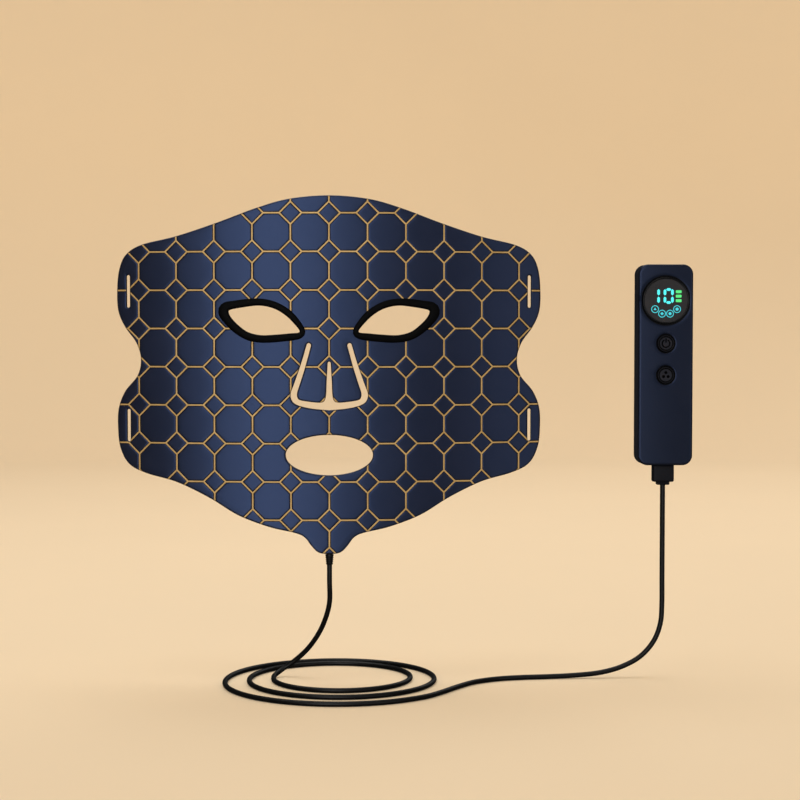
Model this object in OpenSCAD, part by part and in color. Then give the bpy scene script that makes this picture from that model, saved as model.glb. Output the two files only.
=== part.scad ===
// Light therapy face mask: a flexible silicone sheet with openings for the eyes, nose and mouth,
// a low voltage cord from the chin, and the hand controller that it plugs into.
// Millimetres. X runs across the face, the wearer faces -Y, and Z is up.
// The origin is on the face side of the sheet, on its centre line, level with the nose bridge.
// "left" is -X and "right" is +X, as somebody looking at the front of the mask sees it.

/* [Mask sheet] */
// Radius that the face side of the sheet is curved to
sheet_radius = 400; // [320:10:600]
// Thickness of the whole sheet
sheet_thickness = 4; // [3.8:0.1:4.4]
// Thickness of the front skin over the light pocket
front_wall = 1.4; // [1.2:0.1:1.6]
// Thickness of the rear skin against the face
rear_wall = 1.4; // [1.2:0.1:1.6]
// Width of the bonded rim around every edge of the light pocket
rim_width = 3; // [2.5:0.1:3.5]
// Pitch of the octagon pattern, and of the lights behind it
cell_pitch = 21; // [21:0.1:21.4]
// Distance of each temple fold from the centre line
fold_x = 84; // [82:1:86]
// Length of each strap slot
slot_length = 18; // [14:1:20]
// Width of each strap slot
slot_width = 1.8; // [1.6:0.1:2.2]

/* [Controller] */
// Width of the controller
case_width = 30.2; // [29.6:0.1:31]
// Height of the controller
case_height = 110.4; // [109.6:0.1:114]
// Depth of the controller from front to back
case_depth = 17; // [16:0.5:20]
// Wall thickness of the case shells
case_wall = 1.8; // [1.6:0.1:2]
// Radius of the case corners
case_corner = 5.5; // [5:0.5:7]
// Radius of the display panel
display_radius = 11.9; // [11:0.1:12]
// Radius of each button cap
button_radius = 4.9; // [4.4:0.1:5]
// Travel of each button
button_travel = 0.6; // [0.4:0.1:0.7]

/* [Cord] */
// Diameter of the cord
cord_diameter = 2.8; // [2.6:0.1:3]
// Height of the surface that the cord lies on
table_z = -173; // [-173:1:-173]

/* [Hidden] */
$fn = 64;

// Colours
navy = [0.15, 0.19, 0.34];
case_navy = [0.11, 0.13, 0.20];
jacket_black = [0.03, 0.03, 0.05];
gasket_black = [0.02, 0.02, 0.02];
clear_silicone = [0.82, 0.86, 0.90];
circuit_white = [0.90, 0.89, 0.84];
board_green = [0.05, 0.30, 0.16];
copper_gold = [0.85, 0.65, 0.25];
steel = [0.75, 0.76, 0.78];
glow_cyan = [0.20, 0.95, 0.95];
glow_green = [0.25, 0.90, 0.45];
symbol_grey = [0.45, 0.47, 0.52];
panel_grey = [0.13, 0.13, 0.14];
chip_black = [0.08, 0.08, 0.09];
foil_silver = [0.70, 0.72, 0.76];
foam_grey = [0.12, 0.12, 0.12];
wire_red = [0.70, 0.10, 0.08];

// Radii of the layers of the sheet, from the face outwards
face_r = sheet_radius;
rear_r = face_r + rear_wall;
outer_r = face_r + sheet_thickness;
pocket_r = outer_r - front_wall;
circuit_thickness = 0.25;
circuit_r = pocket_r - 0.1 - circuit_thickness;
chip_height = 0.72;
chip_seat = 0.02;
sheet_angle = 25;
fold_angle = asin(fold_x / sheet_radius);
fold_gap_angle = 0.008;
sheet_reach_z = 130;
spline_steps = 3;

// ---------- Outlines of the mask, as [x, z], clockwise from the top ----------

// Right half of the sheet's edge, from the middle of the forehead to the middle of the chin
sheet_half = [
    [0, 93.5], [22, 91.6], [40, 86.6], [62, 78.6], [84, 71.6], [103, 67.2],
    [112, 62], [116, 54], [117.3, 43], [116.8, 31], [113, 22], [106.5, 13],
    [104, 4], [106, -5], [113, -13.6], [116.8, -23], [117.3, -34], [116, -45],
    [111, -54], [101, -59], [84, -63.6], [66, -72], [50, -81.5], [33, -87.8],
    [19, -91], [13.5, -93.5], [10, -98], [6, -101.8], [0, -102.6]
];
// Right eye opening
eye_right = [
    [16.2, 19.8], [18.4, 22.8], [23.5, 27.9], [30, 31.8], [38, 33.5], [47, 32.6],
    [54.2, 31.2], [55, 29.6], [53.4, 26.6], [49.5, 22.6], [44.5, 19.1], [37.5, 17.4],
    [29, 17.7], [21, 18.4], [17, 18.7]
];
// Outer edge of the gasket's front lip around the right eye
eye_lip_right = [
    [12.9, 19.4], [15.3, 24.4], [20, 30], [26, 34.2], [33, 36.8], [41, 37.5],
    [50, 36.6], [58, 35], [61.2, 31.4], [59.4, 26.6], [55.4, 21.8], [49.6, 17],
    [43, 14], [35, 13.1], [26, 13.7], [18.5, 14.6], [14.2, 16.2]
];
gasket_lip = 1.6;
gasket_proud = 0.8;
rear_lip = 3.2;
// Mouth opening, an ellipse
mouth_centre_z = -48.3;
mouth_half_width = 23.9;
mouth_half_height = 11.1;
// Nose slit: the fold of the right flap runs from fold_low to fold_high
fold_low = [0.85, 1.9];
fold_high = [9.95, 11.6];
slit_top = [0, 2.9];
slit_outer_half = [
    [10.2, 12.6], [11.1, 13.1], [12, 12.7], [12.5, 11.4], [14.2, 5.5], [16.3, -1],
    [19.4, -9.8], [21, -14.1], [21, -17], [19.5, -19.6], [16, -21.4], [9, -22.9], [0, -23.7]
];
flap_edge = [
    [11.6, 5.5], [13.4, -1], [16.2, -9.8], [17.5, -13.8], [17.5, -16.4], [15.8, -18.2],
    [8, -19.4], [4, -19.4], [2.4, -18.2], [1.7, -15], [1.4, -8], [1, -1]
];
// Solid border left round the nose slit, outside the light pocket
nose_border_half = [
    [0, 9.5], [6, 15], [11, 18.5], [15.5, 14], [17.8, 5.5], [20, -2], [23.2, -10.5],
    [24.6, -15.5], [23.5, -20.5], [18, -24.5], [9, -26.4], [0, -27]
];
slot_x = 111;
slot_z = [41.5, -32.5];
pocket_half_width = 104;
flap_knuckle_r = 2;
flap_knuckle_gap = 0.06;
flap_knuckle_short = 1.1;
flap_setback = 0.7;

// ---------- Curve functions ----------

// Point at t on the Catmull-Rom curve from b to c
function curve_point(a, b, c, d, t) =
    0.5 * (2 * b + (c - a) * t + (2 * a - 5 * b + 4 * c - d) * t * t
        + (3 * b - a - 3 * c + d) * t * t * t);
// Smooth closed curve through the points
function closed_curve(p) = [
    for (i = [0 : len(p) - 1], k = [0 : spline_steps - 1])
        curve_point(p[(i + len(p) - 1) % len(p)], p[i], p[(i + 1) % len(p)],
            p[(i + 2) % len(p)], k / spline_steps)
];
// Smooth open curve through the points, its last point included
function open_curve(p) = concat([
    for (i = [0 : len(p) - 2], k = [0 : spline_steps - 1])
        curve_point(p[max(i - 1, 0)], p[i], p[i + 1], p[min(i + 2, len(p) - 1)],
            k / spline_steps)
], [p[len(p) - 1]]);
// The same outline on the other side of the centre line, still clockwise
function mirrored(p) = [for (i = [len(p) - 1 : -1 : 0]) [-p[i][0], p[i][1]]];
// A half outline that starts and ends on the centre line, made whole
function both_halves(h) = concat(h, [for (i = [len(h) - 2 : -1 : 1]) [-h[i][0], h[i][1]]]);
// A clockwise outline moved inwards by d, or outwards where d is negative
function inset(p, d) = [
    for (i = [0 : len(p) - 1])
        let (t = p[(i + 1) % len(p)] - p[(i + len(p) - 1) % len(p)])
            p[i] + d * [t[1], -t[0]] / norm(t)
];
// True if the point is inside the outline
function is_inside(q, p) = len([
    for (i = [0 : len(p) - 1])
        let (a = p[i], b = p[(i + 1) % len(p)])
            if ((a[1] > q[1]) != (b[1] > q[1])
                && q[0] < (b[0] - a[0]) * (q[1] - a[1]) / (b[1] - a[1]) + a[0]) 1
]) % 2 == 1;

sheet_edge = closed_curve(both_halves(sheet_half));
eye_hole_right = closed_curve(eye_right);
eye_hole_left = mirrored(eye_hole_right);
eye_lip_curve_right = closed_curve(eye_lip_right);
eye_lip_curve_left = mirrored(eye_lip_curve_right);
function mouth_hole(grow) = [
    for (a = [0 : 7.5 : 352.5])
        [(mouth_half_width + grow) * sin(a), mouth_centre_z + (mouth_half_height + grow) * cos(a)]
];
slit_outer = open_curve(slit_outer_half);
fold_normal = [fold_low[1] - fold_high[1], fold_high[0] - fold_low[0]] / norm(fold_high - fold_low);
nose_hole = both_halves(concat([slit_top, fold_low + flap_setback * fold_normal,
    fold_high + flap_setback * fold_normal], slit_outer));
flap_outline_right = concat([fold_low, fold_high], open_curve(flap_edge));
nose_border = closed_curve(both_halves(nose_border_half));

// ---------- The lights: one behind the middle of each octagon that has room for it ----------

light_edge_room = 8.5;
light_room = inset(sheet_edge, light_edge_room);
no_light_zones = [
    inset(eye_lip_curve_right, -3), inset(eye_lip_curve_left, -3), mouth_hole(7), inset(nose_border, -3.5)
];
function is_clear(q) = is_inside(q, light_room) && abs(q[0]) < pocket_half_width - 5
    && len([for (zone = no_light_zones) if (is_inside(q, zone)) 1]) == 0;
light_columns = [-4.5 : 4.5];
light_rows = [-4.5 : 3.5];
lights = [
    for (i = light_columns, j = light_rows)
        let (q = cell_pitch * [i, j]) if (is_clear(q)) q
];
function is_light(q) = len([for (p = lights) if (norm(p - q) < 1) 1]) > 0;

// ---------- Building blocks of the sheet ----------

// Angle round the sheet's axis of a point at x on the face side
function angle_of(x) = asin(x / sheet_radius);
// Solid between two radii of the sheet, from one angle to another
module layer(r0, r1, a0, a1) {
    translate([0, sheet_radius, 0])
        rotate(a0 - 90)
            rotate_extrude(angle = a1 - a0, $fn = 360)
                translate([r0, -sheet_reach_z])
                    square([r1 - r0, 2 * sheet_reach_z]);
}
// The part of a layer that lies within a flat [x, z] plan
module cut_layer(r0, r1, a0, a1) {
    intersection() {
        layer(r0, r1, a0, a1);
        rotate([90, 0, 0])
            linear_extrude(height = 120, center = true)
                children();
    }
}
module slot_plan(x, z) {
    straight = slot_length - slot_width;
    translate([x, z]) {
        square([slot_width, straight], center = true);
        for (end = [-1, 1])
            translate([0, end * straight / 2])
                circle(r = slot_width / 2);
    }
}
// Everything that the skins leave open, as a plan
module openings_plan() {
    polygon(inset(eye_hole_right, -gasket_lip));
    polygon(inset(eye_hole_left, -gasket_lip));
    polygon(mouth_hole(0));
    polygon(nose_hole);
    for (side = [-1, 1], z = slot_z)
        slot_plan(side * slot_x, z);
}
module skin_plan() {
    difference() {
        polygon(sheet_edge);
        openings_plan();
    }
}
// The hollow between the skins, as a plan
module pocket_plan() {
    difference() {
        polygon(inset(sheet_edge, rim_width));
        polygon(inset(eye_hole_right, -gasket_lip - rim_width));
        polygon(inset(eye_hole_left, -gasket_lip - rim_width));
        polygon(mouth_hole(rim_width));
        polygon(nose_border);
        for (side = [-1, 1])
            translate([side * (pocket_half_width + 20), 0])
                square([40, 2 * sheet_reach_z], center = true);
    }
}
// The round part of a nose flap's fold, or the groove for it
module fold_cylinder(side, r, shorter) {
    along = fold_high - fold_low;
    length = norm(along) - 2 * shorter;
    middle = (fold_high + fold_low) / 2;
    translate([side * middle[0], -sheet_thickness / 2, middle[1]])
        rotate([0, side * atan2(along[0], along[1]), 0])
            cylinder(r = r, h = length, center = true);
}
// Grooves for the two nose flaps, and the hole for the chin gland
module skin_grooves() {
    for (side = [-1, 1])
        fold_cylinder(side, flap_knuckle_r + flap_knuckle_gap, -0.3);
    translate([0, -sheet_thickness / 2, gland_top])
        mirror([0, 0, 1])
            cylinder(r = gland_stem_r, h = 20);
}
module front_skin_zone(a0, a1) {
    cut_layer(pocket_r, outer_r, a0, a1) skin_plan();
    cut_layer(rear_r, pocket_r, a0, a1)
        difference() {
            skin_plan();
            pocket_plan();
        }
}
module rear_skin_zone(a0, a1) {
    cut_layer(face_r, rear_r, a0, a1) skin_plan();
}
// Flexible circuit: a pad behind each light, and strips from each light to its neighbours
module flex_circuit_zone(a0, a1) {
    pad = 8;
    strip = 4;
    cut_layer(circuit_r, circuit_r + circuit_thickness, a0, a1) {
        for (q = lights) {
            translate(q)
                square(pad, center = true);
            if (is_light(q + [cell_pitch, 0]) && is_clear(q + [cell_pitch / 2, 0]))
                translate(q + [cell_pitch / 2, 0])
                    square([cell_pitch, strip], center = true);
            if (is_light(q + [0, cell_pitch]) && is_clear(q + [0, cell_pitch / 2]))
                translate(q + [0, cell_pitch / 2])
                    square([strip, cell_pitch], center = true);
        }
        // Tail down to the junction board in the chin
        translate([0, -3.5 * cell_pitch])
            square([cell_pitch, strip], center = true);
        translate([-3, board_top])
            square([6, -3.5 * cell_pitch - board_top]);
    }
}
// Light chips on the face side of the circuit, for lights with x between x0 and x1
module light_chips_zone(x0, x1) {
    for (q = lights)
        if (q[0] > x0 && q[0] < x1)
            translate([0, sheet_radius, q[1]])
                rotate(angle_of(q[0]))
                    translate([0, chip_seat - circuit_r + chip_height / 2, 0])
                        cube([3.5, chip_height, 2.8], center = true);
}

centre_from = -fold_angle + fold_gap_angle;
centre_to = fold_angle - fold_gap_angle;
wing_from = fold_angle + fold_gap_angle;

// ---------- Mask, middle ----------

module front_skin() {
    color(navy)
        difference() {
            front_skin_zone(centre_from, centre_to);
            skin_grooves();
        }
}
module rear_skin() {
    color(clear_silicone)
        difference() {
            rear_skin_zone(centre_from, centre_to);
            skin_grooves();
        }
}
module flex_circuit() {
    color(circuit_white) flex_circuit_zone(centre_from, centre_to);
}
module light_chips() {
    color(copper_gold) light_chips_zone(-fold_x, fold_x);
}
// U section ring that grips the edge of an eye opening
module eye_gasket(hole, lip) {
    color(gasket_black) {
        cut_layer(face_r - gasket_proud, outer_r + gasket_proud, -sheet_angle, sheet_angle)
            difference() {
                polygon(inset(hole, -gasket_lip));
                polygon(hole);
            }
        cut_layer(outer_r, outer_r + gasket_proud, -sheet_angle, sheet_angle)
            difference() {
                polygon(lip);
                polygon(hole);
            }
        cut_layer(face_r - gasket_proud, face_r, -sheet_angle, sheet_angle)
            difference() {
                polygon(inset(hole, -rear_lip));
                polygon(hole);
            }
    }
}
module eye_gasket_left() {
    eye_gasket(eye_hole_left, eye_lip_curve_left);
}
module eye_gasket_right() {
    eye_gasket(eye_hole_right, eye_lip_curve_right);
}

// ---------- Chin: junction board, wires, gland ----------

board_top = -89;
board_height = 4.5;
board_width = 11;
board_thickness = 0.4;
gland_top = -98.6;
gland_stem_r = 1.7;
gland_collar_top = -102.9;
gland_end = -108.5;
wire_count = 4;
wire_pitch = 0.7;
wire_r = 0.25;

module junction_board() {
    color(board_green)
        translate([-board_width / 2, sheet_radius - circuit_r, board_top - board_height])
            cube([board_width, board_thickness, board_height]);
}
module lead_wires() {
    color(copper_gold)
        for (k = [0 : wire_count - 1])
            translate([(k - (wire_count - 1) / 2) * wire_pitch, -sheet_thickness / 2, gland_top])
                cylinder(r = wire_r, h = board_top - board_height - gland_top);
}
// Strain relief: a stem held in the sheet, and a tapered collar below it
module chin_gland() {
    color(jacket_black)
        translate([0, -sheet_thickness / 2, 0]) {
            translate([0, 0, gland_end])
                cylinder(r1 = 1.75, r2 = 2.3, h = gland_collar_top - gland_end);
            translate([0, 0, gland_collar_top])
                cylinder(r = gland_stem_r, h = gland_top - gland_collar_top);
        }
}

// ---------- Temple wings, which fold back round the head ----------

module front_skin_left() {
    color(navy) front_skin_zone(-sheet_angle, -wing_from);
}
module rear_skin_left() {
    color(clear_silicone) rear_skin_zone(-sheet_angle, -wing_from);
}
module flex_circuit_left() {
    color(circuit_white) flex_circuit_zone(-sheet_angle, -wing_from);
}
module light_chips_left() {
    color(copper_gold) light_chips_zone(-slot_x, -fold_x);
}
module front_skin_right() {
    color(navy) front_skin_zone(wing_from, sheet_angle);
}
module rear_skin_right() {
    color(clear_silicone) rear_skin_zone(wing_from, sheet_angle);
}
module flex_circuit_right() {
    color(circuit_white) flex_circuit_zone(wing_from, sheet_angle);
}
module light_chips_right() {
    color(copper_gold) light_chips_zone(fold_x, slot_x);
}

// ---------- Nose flaps, which the nose pushes forwards ----------

flap_front_y = -sheet_thickness + 0.05;
flap_rear_y = -0.05;
liner_thickness = 1.3;
liner_outline = [
    [4.2, -16.8], [3.6, -10], [3.2, -2], [3, 0.4], [5, 2.6], [9, 6.4], [9.6, 3.4],
    [11.2, -1.4], [13.8, -9.6], [14.8, -14], [13.6, -16.2]
];
module flat_piece(p, y0, y1) {
    translate([0, y1, 0])
        rotate([90, 0, 0])
            linear_extrude(height = y1 - y0)
                polygon(p);
}
module nose_flap(side) {
    outline = side > 0 ? flap_outline_right : mirrored(flap_outline_right);
    liner = side > 0 ? liner_outline : mirrored(liner_outline);
    color(navy)
        difference() {
            union() {
                flat_piece(outline, flap_front_y, flap_rear_y);
                fold_cylinder(side, flap_knuckle_r, flap_knuckle_short);
            }
            flat_piece(liner, flap_rear_y - liner_thickness, 1);
        }
}
module nose_liner(side) {
    color(clear_silicone)
        flat_piece(side > 0 ? liner_outline : mirrored(liner_outline),
            flap_rear_y - liner_thickness, flap_rear_y);
}
module nose_flap_left() {
    nose_flap(-1);
}
module nose_liner_left() {
    nose_liner(-1);
}
module nose_flap_right() {
    nose_flap(1);
}
module nose_liner_right() {
    nose_liner(1);
}

// ---------- Cord ----------

cord_r = cord_diameter / 2;
cord_y = -sheet_thickness / 2;
lay_z = table_z + cord_r;
// From the chin down to the surface
cord_drop = [
    [0, cord_y, gland_end], [0, -2, -118], [0, 0, -129], [-2, 2, -138], [-6, 5, -147.5],
    [-12, 8.5, -156.5], [-19, 11.5, -163.5], [-26, 12, -168.5], [-30, 8.5, -171]
];
// Open turns on the surface: each is wider than the last, and its centre moves forwards
turn_start = 180;
turn_end = 1035;
turn_step = 19;
turn_centre = [3.5, 3];
turn_radius = 34.5;
turn_growth = 13;
turn_shift = -4.5;
cord_turns = [
    for (a = [turn_start : turn_step : turn_end])
        let (n = (a - turn_start) / 360, r = turn_radius + turn_growth * n)
            [turn_centre[0] + r * cos(a), turn_centre[1] + turn_shift * n + r * sin(a), lay_z]
];
// Along the surface, and up into the plug
cord_rise = [
    [60, -41, lay_z], [69, -27, lay_z], [79, -14, lay_z], [92, -5.5, lay_z], [106, -1.5, lay_z],
    [121, 0.5, lay_z], [136, 2, -171.2], [150, 3.2, -170], [162, 4.4, -167], [172.5, 5, -161.5],
    [180, 5, -153], [183.8, 5, -143], [184.6, 5, -132], [184.6, 5, -118], [184.6, 5, -104],
    [184.6, 5, -90], [184.6, 5, -77], [184.6, 5, -65.6]
];
cord_route = concat(cord_drop, cord_turns, cord_rise);
cord_sides = 8;

function unit(v) = v / norm(v);
function tangent(p, i) = unit(p[min(i + 1, len(p) - 1)] - p[max(i - 1, 0)]);
function square_to(v, t) = unit(v - (v * t) * t);
// A direction across the cord at each point, carried along without twisting
function carried(p, i, v) = let (w = square_to(v, tangent(p, i)))
    i == len(p) - 1 ? [w] : concat([w], carried(p, i + 1, w));
function ring(p, i, across, r) = let (other = cross(tangent(p, i), across)) [
    for (k = [0 : cord_sides - 1])
        p[i] + r * (cos(360 * k / cord_sides) * across + sin(360 * k / cord_sides) * other)
];
module tube(p, r) {
    across = carried(p, 0, [1, 0, 0]);
    points = [for (i = [0 : len(p) - 1]) each ring(p, i, across[i], r)];
    n = cord_sides;
    last = n * (len(p) - 1);
    walls = [
        for (i = [0 : len(p) - 2], k = [0 : n - 1])
            [n * i + k, n * i + (k + 1) % n, n * (i + 1) + (k + 1) % n, n * (i + 1) + k]
    ];
    ends = [[for (k = [n - 1 : -1 : 0]) k], [for (k = [0 : n - 1]) last + k]];
    polyhedron(points, concat(walls, ends));
}
module cord() {
    color(jacket_black) tube(cord_route, cord_r);
}

// ---------- Controller ----------

case_x = 184.6;
case_z = 0.95;
case_front_y = -3.5;
case_back_y = case_front_y + case_depth;
parting_y = case_front_y + case_depth / 2;
case_bottom = case_z - case_height / 2;
display_z = case_z + 35.35;
power_z = case_z + 11.85;
mode_z = case_z - 5.55;
panel_recess = 1.2;
ring_r = display_radius + 1;
button_clearance = 0.15;
button_proud = 0.5;
button_flange_r = 5.9;
button_flange = 0.8;
flange_gap = 0.1;
dish_sphere_r = 18;
dish_depth = 0.4;
symbol_y = case_front_y - button_proud + 0.6;
symbol_thickness = 0.3;
board_front_y = parting_y - 2.6;
main_board_thickness = 1.2;
screw_x = 10.2;
screw_z = [47.85, -46.15];
boss_r = 3;
screw_r = 0.85;
screw_head_r = 1.7;
screw_head = 1.3;
plug_gap = 0.25;
socket_width = 9;
socket_height = 3.2;
socket_depth = 7.4;

// Outline of a rectangle with round corners, as [x, z]
function rounded(w, h, r) = [
    for (corner = [0 : 3], step = [0 : 6])
        let (a = 90 - 90 * corner - 15 * step, sx = corner < 2 ? 1 : -1,
            sz = corner == 0 || corner == 3 ? 1 : -1)
            [sx * (w / 2 - r) + r * cos(a), sz * (h / 2 - r) + r * sin(a)]
];
// A block with round corners between two depths, centred on the controller
module case_block(w, h, r, y0, y1) {
    translate([case_x, 0, case_z])
        flat_piece(rounded(w, h, r), y0, y1);
}
// A round piece along Y, between two depths
module round_piece(x, z, r, y0, y1) {
    translate([x, y1, z])
        rotate([90, 0, 0])
            cylinder(r = r, h = y1 - y0);
}
// The opening in the bottom of the case for the plug
module socket_cut() {
    translate([case_x, parting_y, case_bottom])
        cube([socket_width + 0.6, socket_height + 0.6, 8], center = true);
}
module at_screws() {
    for (sx = [-1, 1], z = screw_z)
        translate([case_x + sx * screw_x, 0, case_z + z])
            children();
}
edge_round = 1.2;
edge_steps = 5;
// Solid block from an outer face to the parting plane, its outer edges rounded
module rounded_block(face_y, inwards) {
    hull()
        for (k = [0 : edge_steps])
            let (a = 90 * k / edge_steps, cut = edge_round * (1 - sin(a)),
                y = face_y + inwards * edge_round * (1 - cos(a)))
                case_block(case_width - 2 * cut, case_height - 2 * cut, case_corner - cut,
                    min(y, parting_y), max(y, parting_y));
}

module case_front() {
    inner_y = case_front_y + case_wall;
    color(case_navy)
        difference() {
            union() {
                difference() {
                    rounded_block(case_front_y, 1);
                    case_block(case_width - 2 * case_wall, case_height - 2 * case_wall,
                        case_corner - case_wall, inner_y, parting_y + 1);
                }
                at_screws() round_piece(0, 0, boss_r, inner_y - 0.2, parting_y);
            }
            round_piece(case_x, display_z, ring_r, case_front_y - 1, case_front_y + panel_recess);
            round_piece(case_x, display_z, 3, case_front_y, inner_y + 1);
            for (z = [power_z, mode_z])
                round_piece(case_x, z, button_radius + button_clearance, case_front_y - 1, inner_y + 1);
            at_screws() round_piece(0, 0, screw_r, inner_y + 1, parting_y + 1);
            socket_cut();
        }
}
module case_back() {
    inner_y = case_back_y - case_wall;
    color(case_navy)
        difference() {
            union() {
                difference() {
                    rounded_block(case_back_y, -1);
                    case_block(case_width - 2 * case_wall, case_height - 2 * case_wall,
                        case_corner - case_wall, parting_y - 1, inner_y);
                }
                at_screws() round_piece(0, 0, boss_r, parting_y, inner_y + 0.2);
            }
            at_screws() {
                round_piece(0, 0, screw_r + 0.25, parting_y - 1, case_back_y + 1);
                round_piece(0, 0, screw_head_r + 0.2, case_back_y - screw_head - 0.4, case_back_y + 1);
            }
            socket_cut();
        }
}
module case_screws() {
    head_y = case_back_y - 0.4;
    color(steel)
        at_screws()
            difference() {
                union() {
                    round_piece(0, 0, screw_head_r, head_y - screw_head, head_y);
                    round_piece(0, 0, screw_r, case_front_y + case_wall + 1.4, head_y - screw_head);
                }
                for (turn = [0, 90])
                    translate([0, head_y, 0])
                        rotate([0, turn, 0])
                            cube([2, 1.4, 0.45], center = true);
            }
}

// Display: a dark panel with light guides let into it flush, in a black ring
guide_depth = 0.5;
guide_proud = 0.03;
module display_ring() {
    color(gasket_black)
        difference() {
            round_piece(case_x, display_z, ring_r, case_front_y - 0.35, case_front_y + panel_recess);
            round_piece(case_x, display_z, display_radius, case_front_y - 1,
                case_front_y + panel_recess + 1);
        }
}
module display_panel() {
    color(panel_grey)
        difference() {
            round_piece(case_x, display_z, display_radius, case_front_y, case_front_y + panel_recess);
            light_guides(case_front_y - 1, case_front_y + guide_depth) {
                digit_shapes();
                bar_shapes();
                icon_shapes();
            }
        }
}
module light_guides(y0, y1) {
    translate([case_x, y1, display_z])
        rotate([90, 0, 0])
            linear_extrude(height = y1 - y0)
                children();
}
segment_length = 3.5;
segment_width = 1.5;
digit_height = 8.6;
digit_width = 5.6;
digits_z = 2.5;
// Six sided bar with pointed ends, standing along the second axis
module segment(length) {
    w = segment_width / 2;
    polygon([[0, length / 2], [w, length / 2 - w], [w, w - length / 2], [0, -length / 2],
        [-w, w - length / 2], [-w, length / 2 - w]]);
}
// A one and a nought from upright and level bars
module digit_shapes() {
    one_x = -4.2;
    nought_x = 1.35;
    reach = digit_height / 4 - 0.1;
    side = digit_width / 2 - segment_width / 2;
    level = digit_height / 2 - segment_width / 2;
    for (x = [one_x, nought_x - side, nought_x + side], up = [-1, 1])
        translate([x, digits_z + up * reach])
            segment(segment_length);
    for (up = [-1, 1])
        translate([nought_x, digits_z + up * level])
            rotate(90)
                segment(segment_length - 0.6);
}
bar_width = 3.2;
bar_height = 1.6;
bar_corner = 0.5;
bar_pitch = 2.45;
module bar_shapes() {
    for (k = [-1 : 1])
        translate([6.85, digits_z - 0.1 + k * bar_pitch])
            offset(r = bar_corner, $fn = 24)
                square([bar_width - 2 * bar_corner, bar_height - 2 * bar_corner], center = true);
}
icon_r = 2.1;
icon_line = 0.4;
icon_places = [[-6.1, -4.7], [-2.25, -7.15], [2.15, -7.15], [6, -4.7]];
module icon_shapes() {
    for (k = [0 : 3])
        translate(icon_places[k]) {
            difference() {
                circle(r = icon_r, $fn = 48);
                circle(r = icon_r - icon_line, $fn = 48);
            }
            polygon([for (i = [0 : k + 2]) 0.95 * [sin(360 * i / (k + 3)), cos(360 * i / (k + 3))]]);
        }
}
module digit_segments() {
    color(glow_cyan) light_guides(case_front_y - guide_proud, case_front_y + guide_depth) digit_shapes();
}
module battery_bars() {
    color(glow_green) light_guides(case_front_y - guide_proud, case_front_y + guide_depth) bar_shapes();
}
module mode_icons() {
    color(glow_cyan) light_guides(case_front_y - guide_proud, case_front_y + guide_depth) icon_shapes();
}

// Inside the case
module display_board() {
    color(board_green) {
        translate([case_x, case_front_y + case_wall + 1.2, display_z])
            cube([20, 1, 17.6], center = true);
        translate([case_x, (case_front_y + case_wall + 1.7 + board_front_y) / 2, display_z - 7])
            cube([12, board_front_y - case_front_y - case_wall - 1.7, 2.4], center = true);
    }
}
module main_board() {
    color(board_green)
        difference() {
            case_block(case_width - 2 * case_wall - 1, 100, 3,
                board_front_y, board_front_y + main_board_thickness);
            at_screws() round_piece(0, 0, boss_r + 0.3, case_front_y, case_back_y);
            translate([case_x, parting_y, case_bottom + 5])
                cube([socket_width, 10, 8], center = true);
        }
}
module board_chips() {
    color(chip_black)
        for (chip = [[0, -18, 7, 7, 1], [6, -28, 4, 3, 1.2], [-6, -29, 5, 4, 1.5], [7.5, -13, 2, 4, 0.8],
                [-7.5, -15, 2, 3, 0.8], [0, 20.5, 5, 3, 0.9]])
            translate([case_x + chip[0], board_front_y - chip[4] / 2, case_z + chip[1]])
                cube([chip[2], chip[4], chip[3]], center = true);
}
switch_height = 1.4;
switch_plunger = 0.6;
module tact_switches() {
    color(steel)
        for (z = [power_z, mode_z]) {
            translate([case_x, board_front_y - switch_height / 2, z])
                cube([4.4, switch_height, 4.4], center = true);
            round_piece(case_x, z, 1, board_front_y - switch_height - switch_plunger,
                board_front_y - switch_height);
        }
}
battery_size = [19, 4.6, 62];
module battery() {
    color(foil_silver)
        translate([case_x, case_back_y - case_wall - 1 - battery_size[1] / 2, case_z + 2])
            cube(battery_size, center = true);
}
module battery_foam() {
    color(foam_grey)
        translate([case_x, case_back_y - case_wall - 0.5, case_z + 2])
            cube([16, 1, 50], center = true);
}
module battery_leads() {
    lead_y = case_back_y - case_wall - 3;
    color(wire_red)
        for (side = [-1, 1])
            translate([case_x + side * 1.4, lead_y, case_z - 29.05]) {
                mirror([0, 0, 1])
                    cylinder(r = 0.5, h = 6);
                translate([0, 0, -5.4])
                    rotate([90, 0, 0])
                        cylinder(r = 0.5, h = lead_y - board_front_y - main_board_thickness);
            }
}
module usb_socket() {
    color(steel)
        translate([case_x, parting_y, case_bottom + 0.3])
            difference() {
                translate([0, 0, socket_depth / 2])
                    cube([socket_width, socket_height, socket_depth], center = true);
                translate([0, 0, (socket_depth - 0.6) / 2])
                    cube([socket_width - 0.5, socket_height - 0.5, socket_depth - 0.6], center = true);
            }
}

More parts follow.
